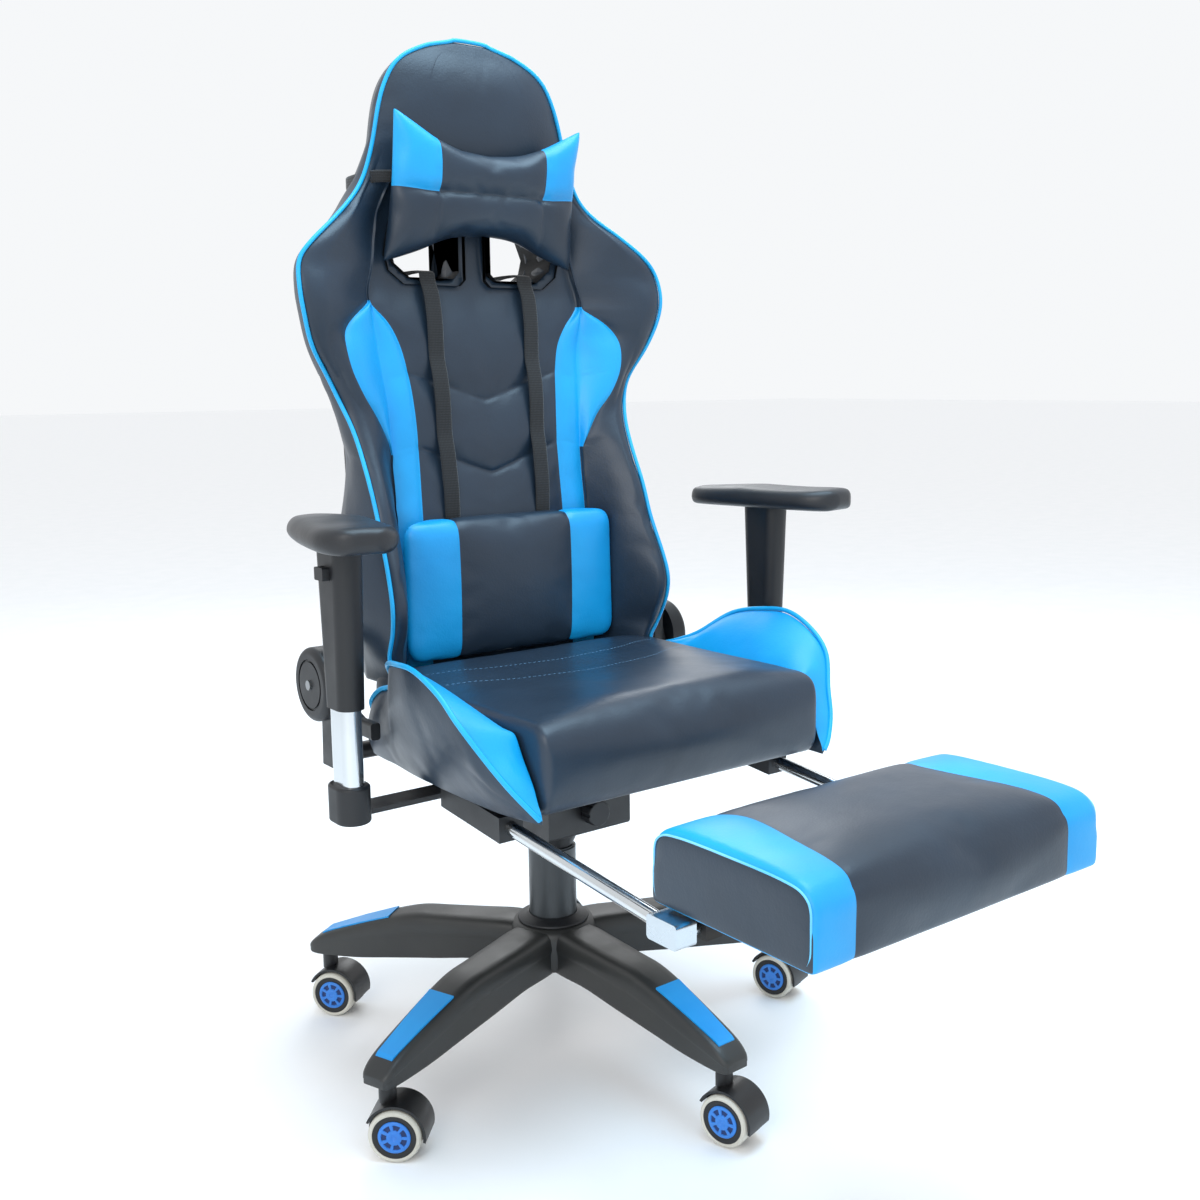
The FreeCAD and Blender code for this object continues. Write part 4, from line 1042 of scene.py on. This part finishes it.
def buildWing():
    inner = wingInner
    low = seatLow.z
    along = 44
    columns = []
    for panel, (count, bulge) in enumerate(((3, 0.0), (4, 3.0), (5, 4.0), (8, 5.0), (2, 0.0))):
        columns += [(panel, share, bulge) for share in panelSteps(count)]
    columns.append((4, 1.0, 0.0))

    def stations(at):
        y, edge, rise, belly = wingRow(at)
        top = low + rise
        shoulder = min(top - 0.001, seatHigh.z - 0.012) if rise > 0.03 else low + rise * 0.8
        # the lower inner edge rises towards the rear, over the footrest's tube
        room = fraction((y + 0.09) / 0.06)
        hem = low + 0.016 * room
        return y, [(inner, hem), (inner + belly * 0.35 + 0.003 * room, low),
                   (inner + belly, low + rise * 0.45), (inner + edge, top), (inner, shoulder),
                   (inner, hem)]

    def place(key):
        panel, share, bulge = columns[min(round(key.x), len(columns) - 1)]
        at = key.y / along * (len(wingRows) - 1)
        y, line = stations(at)
        (x0, z0), (x1, z1) = line[panel], line[panel + 1]
        first, last = wingRows[0][0] * mm, wingRows[-1][0] * mm
        fade = fraction((y - first) / 0.05, (last - y) / 0.06)
        push = bulge * mm * math.sin(math.pi * share) * fade
        flow = Vector((x1 - x0, z1 - z0))
        side = Vector((flow.y, -flow.x)).normalized() if flow.length > 0 else Vector((0, 0))
        x, z = blendTo(x0, x1, share) + side.x * push, blendTo(z0, z1, share) + side.y * push
        return Vector((max(x, inner), y, z))

    def kind(key):
        return 1 if columns[min(int(key.x), len(columns) - 2)][0] == 3 else 0

    def seam(key):
        panel, share, _ = columns[min(round(key.x), len(columns) - 1)]
        return 1.0 if panel in (0, 4) or share == 0 or key.y < 1.5 or key.y > along - 1.5 else 0.0

    mesh = shapeMesh(gridSheet(len(columns) - 1, along), place, kind, seam)
    closeEnds(mesh)
    return mesh


def buildWings():
    mesh = buildWing()
    steps = 60
    line = []
    for k in range(steps + 1):
        y, edge, rise, _ = wingRow(k / steps * (len(wingRows) - 1))
        line.append(Vector((wingInner + edge + 0.0012, y, seatLow.z + rise + 0.0008)))
    for side, each in (("left", mesh), ("right", mirrored(mesh))):
        piece = makePiece(side + "Wing", each, "seat",
                          [blackLeatherPaintedSheen, blueLeather], ["seat_wing_" + side])
        puff(piece, 2.0, 0.004, 0.003)
        smoothOver(piece)
        sign = 1 if side == "left" else -1
        buildPiping(side + "WingPiping", [Vector((sign * p.x, p.y, p.z)) for p in line], 0.003,
                    "seat")


seatCover = buildSeatCushion()
buildSeatStitches(surfaceOf(seatCover))
buildWings()
print("seat and wings built")


pad = {"outside": 2, "front": 121, "rear": 117, "turn": 12, "droop": 6}


def buildArmPads():
    low, high = span("arm_pad_left")
    postLow, postHigh = span("arm_sleeve_left")
    centre = Vector(((postLow.x + postHigh.x) / 2 + pad["outside"] * mm,
                     (postLow.y + postHigh.y) / 2, (low.z + high.z) / 2))
    turn = Matrix.Rotation(math.radians(pad["turn"]), 3, "Z")
    outline = [(0.0, 16), (0.02, 26), (0.08, 37), (0.17, 44), (0.5, 45), (0.72, 41), (0.86, 35),
               (0.95, 27), (1.0, 15)]
    mesh = gridBlock((evenly(14), evenly(30), evenly(6)))

    def place(key):
        point = roundCorner(key, (1.0, 1.0, (high.z - low.z) / 2), (0.3, 0.1, 0.0115))
        share = (point.y + 1) / 2
        width = readCurve(outline, share) * mm
        y = blendTo(-pad["front"], pad["rear"], share) * mm
        crown = 0.003 * (1 - key.x ** 2) if key.z > 0 else 0.0
        dish = 0.0025 * math.exp(-((share - 0.35) / 0.2) ** 2) * (1 - key.x ** 2)
        droop = pad["droop"] * mm * max(0.0, share - 0.6) / 0.4
        z = centre.z + point.z + crown - dish * (key.z > 0) - droop * (0.4 if key.z < 0 else 1.0)
        thin = 0.004 * max(0.0, share - 0.5) if key.z < 0 else 0.0
        return centre + turn @ Vector((point.x * width, y, z + thin - centre.z))

    mesh = shapeMesh(mesh, place)
    for side, each in (("left", mesh), ("right", mirrored(mesh))):
        piece = makePiece(side + "ArmPad", each, "arm_" + side, [padFoam],
                          ["arm_pad_" + side])
        smoothOver(piece)


buildArmPads()
print("arm pads built")


foot = {"radius": 22, "endRadius": 5, "hemRadius": 5, "crown": 14, "bandEdge": 0.7,
        "bandRear": 60, "bandMiddle": 74, "bandFront": 52, "bandLow": 50}


def buildFootrest():
    low, high = span("footrest_cushion")
    half, middle = (high - low) / 2, (high + low) / 2
    edge = foot["bandEdge"]
    inside = [edge * k / 9 for k in range(-9, 10)]
    outside = [s * (edge + d) for s in (1, -1) for d in (0.02, 0.08, 0.14, 0.2, 0.25, 0.28)]
    mesh = gridBlock((sorted(inside + outside + [0.98 * edge, -0.98 * edge]), evenly(26),
                      evenly(10)))
    bands = [(-0.2, foot["bandRear"]), (1.0, foot["bandRear"]), (1.5, foot["bandMiddle"]),
             (2.4, foot["bandFront"] + 6), (2.9, foot["bandFront"]), (4.0, foot["bandLow"])]

    def around(key):
        # 0 to 1 up the rear, 1 to 3 along the top to the front, 3 to 4 down the front
        if key.z > 0.999:
            return 2 - key.y
        return 0.5 + key.z / 2 if key.y > 0 else 3.5 - key.z / 2

    def bandOf(key):
        return readCurve(bands, around(key)) * mm / half.x

    def place(key):
        # the columns bow with the seam of each end band
        band = 1 - bandOf(key)
        x = abs(key.x)
        x = x / edge * band if x < edge else 1 - (1 - x) / (1 - edge) * (1 - band)
        x = math.copysign(x, key.x)
        curl = (foot["radius"] if key.z > 0 else foot["hemRadius"]) * mm
        point = roundCorner(Vector((x, key.y, key.z)), half,
                            (foot["endRadius"] * mm, curl, curl))
        across = max(0.0, 1 - key.y ** 4)
        rise = foot["crown"] * mm * across * (0.55 + 0.45 * (1 - key.x ** 2))
        dent = 1.8 * mm * math.exp(-((abs(x) - band) * half.x / (3.5 * mm)) ** 2)
        share = (point.z + half.z) / (2 * half.z)
        z = middle.z + point.z + share * (rise - 0.006) - (dent if key.z > 0.9 else 0)
        y = middle.y + point.y + (dent if key.y < -0.99 else 0)
        if key.z < -0.99:
            z = max(z, low.z)
        return Vector((point.x, y, z))

    def kind(key):
        return 1 if edge < abs(key.x) < 0.999 else 0

    def seam(key):
        stitched = abs(key.x) > 0.97 or abs(abs(key.x) - edge) < 0.001
        return 1.0 if stitched or key.z < -0.99 else 0.0

    piece = makePiece("footCover", shapeMesh(mesh, place, kind, seam), "footrest",
                      [blackLeatherPaintedSheen, blueLeather], ["footrest_cushion"])
    puff(piece, 2.0, 0.005, 0.002)
    smoothOver(piece)
    for sign, name in ((1, "footPipingLeft"), (-1, "footPipingRight")):
        line = []
        inset = foot["endRadius"] * mm * 0.3
        for k in range(0, 41):
            turn = k / 40 * 4
            if turn < 1:
                key = Vector((sign * 0.999, 1, -1 + 2 * turn))
            elif turn < 3:
                key = Vector((sign * 0.999, 2 - turn, 1))
            else:
                key = Vector((sign * 0.999, -1, 7 - 2 * turn))
            point = roundCorner(key, half, (0.001, foot["radius"] * mm, foot["radius"] * mm))
            share = (point.z + half.z) / (2 * half.z)
            rise = foot["crown"] * mm * max(0, 1 - key.y ** 4) * 0.55 - 0.006
            line.append(Vector((sign * (half.x - inset), middle.y + point.y,
                                middle.z + point.z + share * rise)))
        makePiece(name, tubeAlong(line, 0.0011, 4), "footrest", [blueThread])


buildFootrest()
print("footrest built")


base = {"sections": [(30, 30, 158, 105), (60, 31, 160, 105), (100, 29.5, 158.5, 104.5),
                     (150, 28, 156.8, 99), (186, 27, 155.2, 95.5), (224, 25.5, 146.6, 91.5),
                     (272, 23.5, 131.4, 86.5), (318, 21.5, 115, 85), (336, 19, 104, 85.5),
                     (342, 15, 98, 87)],
        "plan": [(0.0, 1.0), (0.42, 1.0), (0.72, 0.985), (0.86, 0.94), (0.94, 0.86),
                 (0.985, 0.74), (1.0, 0.62), (0.975, 0.56), (0.955, 0.5), (0.955, 0.1),
                 (0.92, 0.02), (0.86, 0.0)]}


def buildArm(angle):
    plan = base["plan"]
    ring = plan + [(-x, z) for x, z in plan[:0:-1]]
    ribs = 34

    def place(key):
        reach, half, top, bottom = throughRows(base["sections"],
                                               key.y / ribs * (len(base["sections"]) - 1))
        across, rise = ring[round(key.x) % len(ring)]
        return Vector((reach * mm, across * half * mm, blendTo(bottom, top, rise) * mm))

    mesh = shapeMesh(gridSheet(len(ring), ribs), place)
    closeEnds(mesh)
    bmesh.ops.rotate(mesh, verts=mesh.verts, cent=(0, 0, 0),
                     matrix=Matrix.Rotation(math.radians(angle), 3, "Z"))
    return mesh


def spinProfile(profile, steps):
    # a solid of revolution about Z from (radius, height) pairs in millimetres
    mesh = bmesh.new()
    points = [mesh.verts.new((r * mm, 0, z * mm)) for r, z in profile]
    edges = [mesh.edges.new(pair) for pair in zip(points, points[1:])]
    bmesh.ops.spin(mesh, geom=points + edges, cent=(0, 0, 0), axis=(0, 0, 1), dvec=(0, 0, 0),
                   angle=math.tau, steps=steps, use_merge=True)
    bmesh.ops.remove_doubles(mesh, verts=mesh.verts, dist=1e-6)
    bmesh.ops.recalc_face_normals(mesh, faces=mesh.faces)
    return mesh


def buildBase():
    stems = [pivotOf(f"caster_{k}_swivel") for k in range(1, 6)]
    arms = [buildArm(math.degrees(math.atan2(s.y, s.x))) for s in stems]
    hub = spinProfile([(25.2, 106), (50, 106), (54.5, 109), (56, 115), (56, 148), (54.5, 156),
                       (50, 160.5), (40, 161.6), (34, 161.8), (33, 160.6), (25.2, 160.6),
                       (25.2, 106)], 64)
    piece = makePiece("starBase", joinMeshes(arms + [hub]), "base", [nylonBase],
                      ["star_base"])
    bevelOver(piece, 0.0015, 2)
    # the dished collar where the lift column stands in the hub
    collar = spinProfile([(30.8, 161.7), (45, 161.7), (46, 163), (44, 165.5), (36, 167),
                          (33, 170), (31.2, 170.6), (30.8, 169.5), (30.8, 161.7)], 56)
    makePiece("hubCollar", collar, "base", [coverPlastic])


caster = {"tread": 25.6, "cap": 18.6, "width": 18, "gap": 6.5, "windows": 7}


def buildWheel():
    # lies on the XY plane with its outer face up: tread, black disc and blue cap
    c = caster
    w = c["width"]
    tread = spinProfile([(c["tread"] - 1, w - 1.2), (c["tread"], w - 0.4), (27.6, w - 0.3),
                         (29.2, w - 1.6), (30, w - 4.2), (30, 4.2), (29.2, 1.6), (27.6, 0.4),
                         (c["tread"] - 1, 0.4), (c["tread"] - 1, w - 1.2)], 60)
    disc = spinProfile([(0, 1), (c["tread"] - 0.6, 1), (c["tread"] - 0.6, w - 1.0),
                        (c["tread"] - 1.6, w - 0.5), (c["cap"] + 1.5, w - 1.5),
                        (c["cap"] - 0.4, w - 2.0), (0, w - 2.0)], 60)
    for face in disc.faces:
        face.material_index = 1
    turns = c["windows"] * 8
    cap = spinProfile([(c["cap"], w - 2.4), (c["cap"] - 0.2, w - 0.9), (c["cap"] - 1.2, w - 0.3),
                       (15.2, w - 0.2), (8.2, w + 0.1), (6.6, w + 0.3), (3.4, w + 0.4),
                       (2.8, w - 0.4), (0, w - 0.4)], turns)
    windows = []
    for face in cap.faces:
        face.material_index = 2
        middle = face.calc_center_median()
        reach = Vector((middle.x, middle.y)).length / mm
        sector = int((math.atan2(middle.y, middle.x) % math.tau) / math.tau * turns)
        if 8.2 < reach < 15.2 and sector % 8 in (1, 2, 3, 4, 5, 6):
            windows.append(face)
    for k in range(c["windows"]):
        group = []
        for face in windows:
            middle = face.calc_center_median()
            if int((math.atan2(middle.y, middle.x) % math.tau) / math.tau * c["windows"]) == k:
                group.append(face)
        bmesh.ops.inset_region(cap, faces=group, thickness=0.0003, depth=0)
        bmesh.ops.inset_region(cap, faces=group, thickness=0.0002, depth=-0.0016)
        # the window recesses take the painted shade colour
        for face in group:
            face.material_index = 3
    return joinMeshes([tread, disc, cap])


def buildCasters():
    for k in range(1, 6):
        centre = pivotOf(f"caster_{k}_roll")
        axis = Vector(joints[f"caster_{k}_roll"]["axis"]).normalized()
        pair = []
        for sign in (1, -1):
            wheel = buildWheel()
            turn = (axis * sign).to_track_quat("Z", "Y").to_matrix().to_4x4()
            lift = Matrix.Translation((0, 0, caster["gap"] * mm))
            bmesh.ops.transform(wheel, matrix=Matrix.Translation(centre) @ turn @ lift,
                                verts=wheel.verts)
            pair.append(wheel)
        piece = makePiece(f"casterWheels{k}", joinMeshes(pair), f"caster_{k}_wheel_pair",
                          [treadPale, ringBlack, capBlue, capWindowShade],
                          [f"caster_{k}_wheels"])
        bevelOver(piece, 0.0002, 1)


buildBase()
buildCasters()
print("base and casters built")
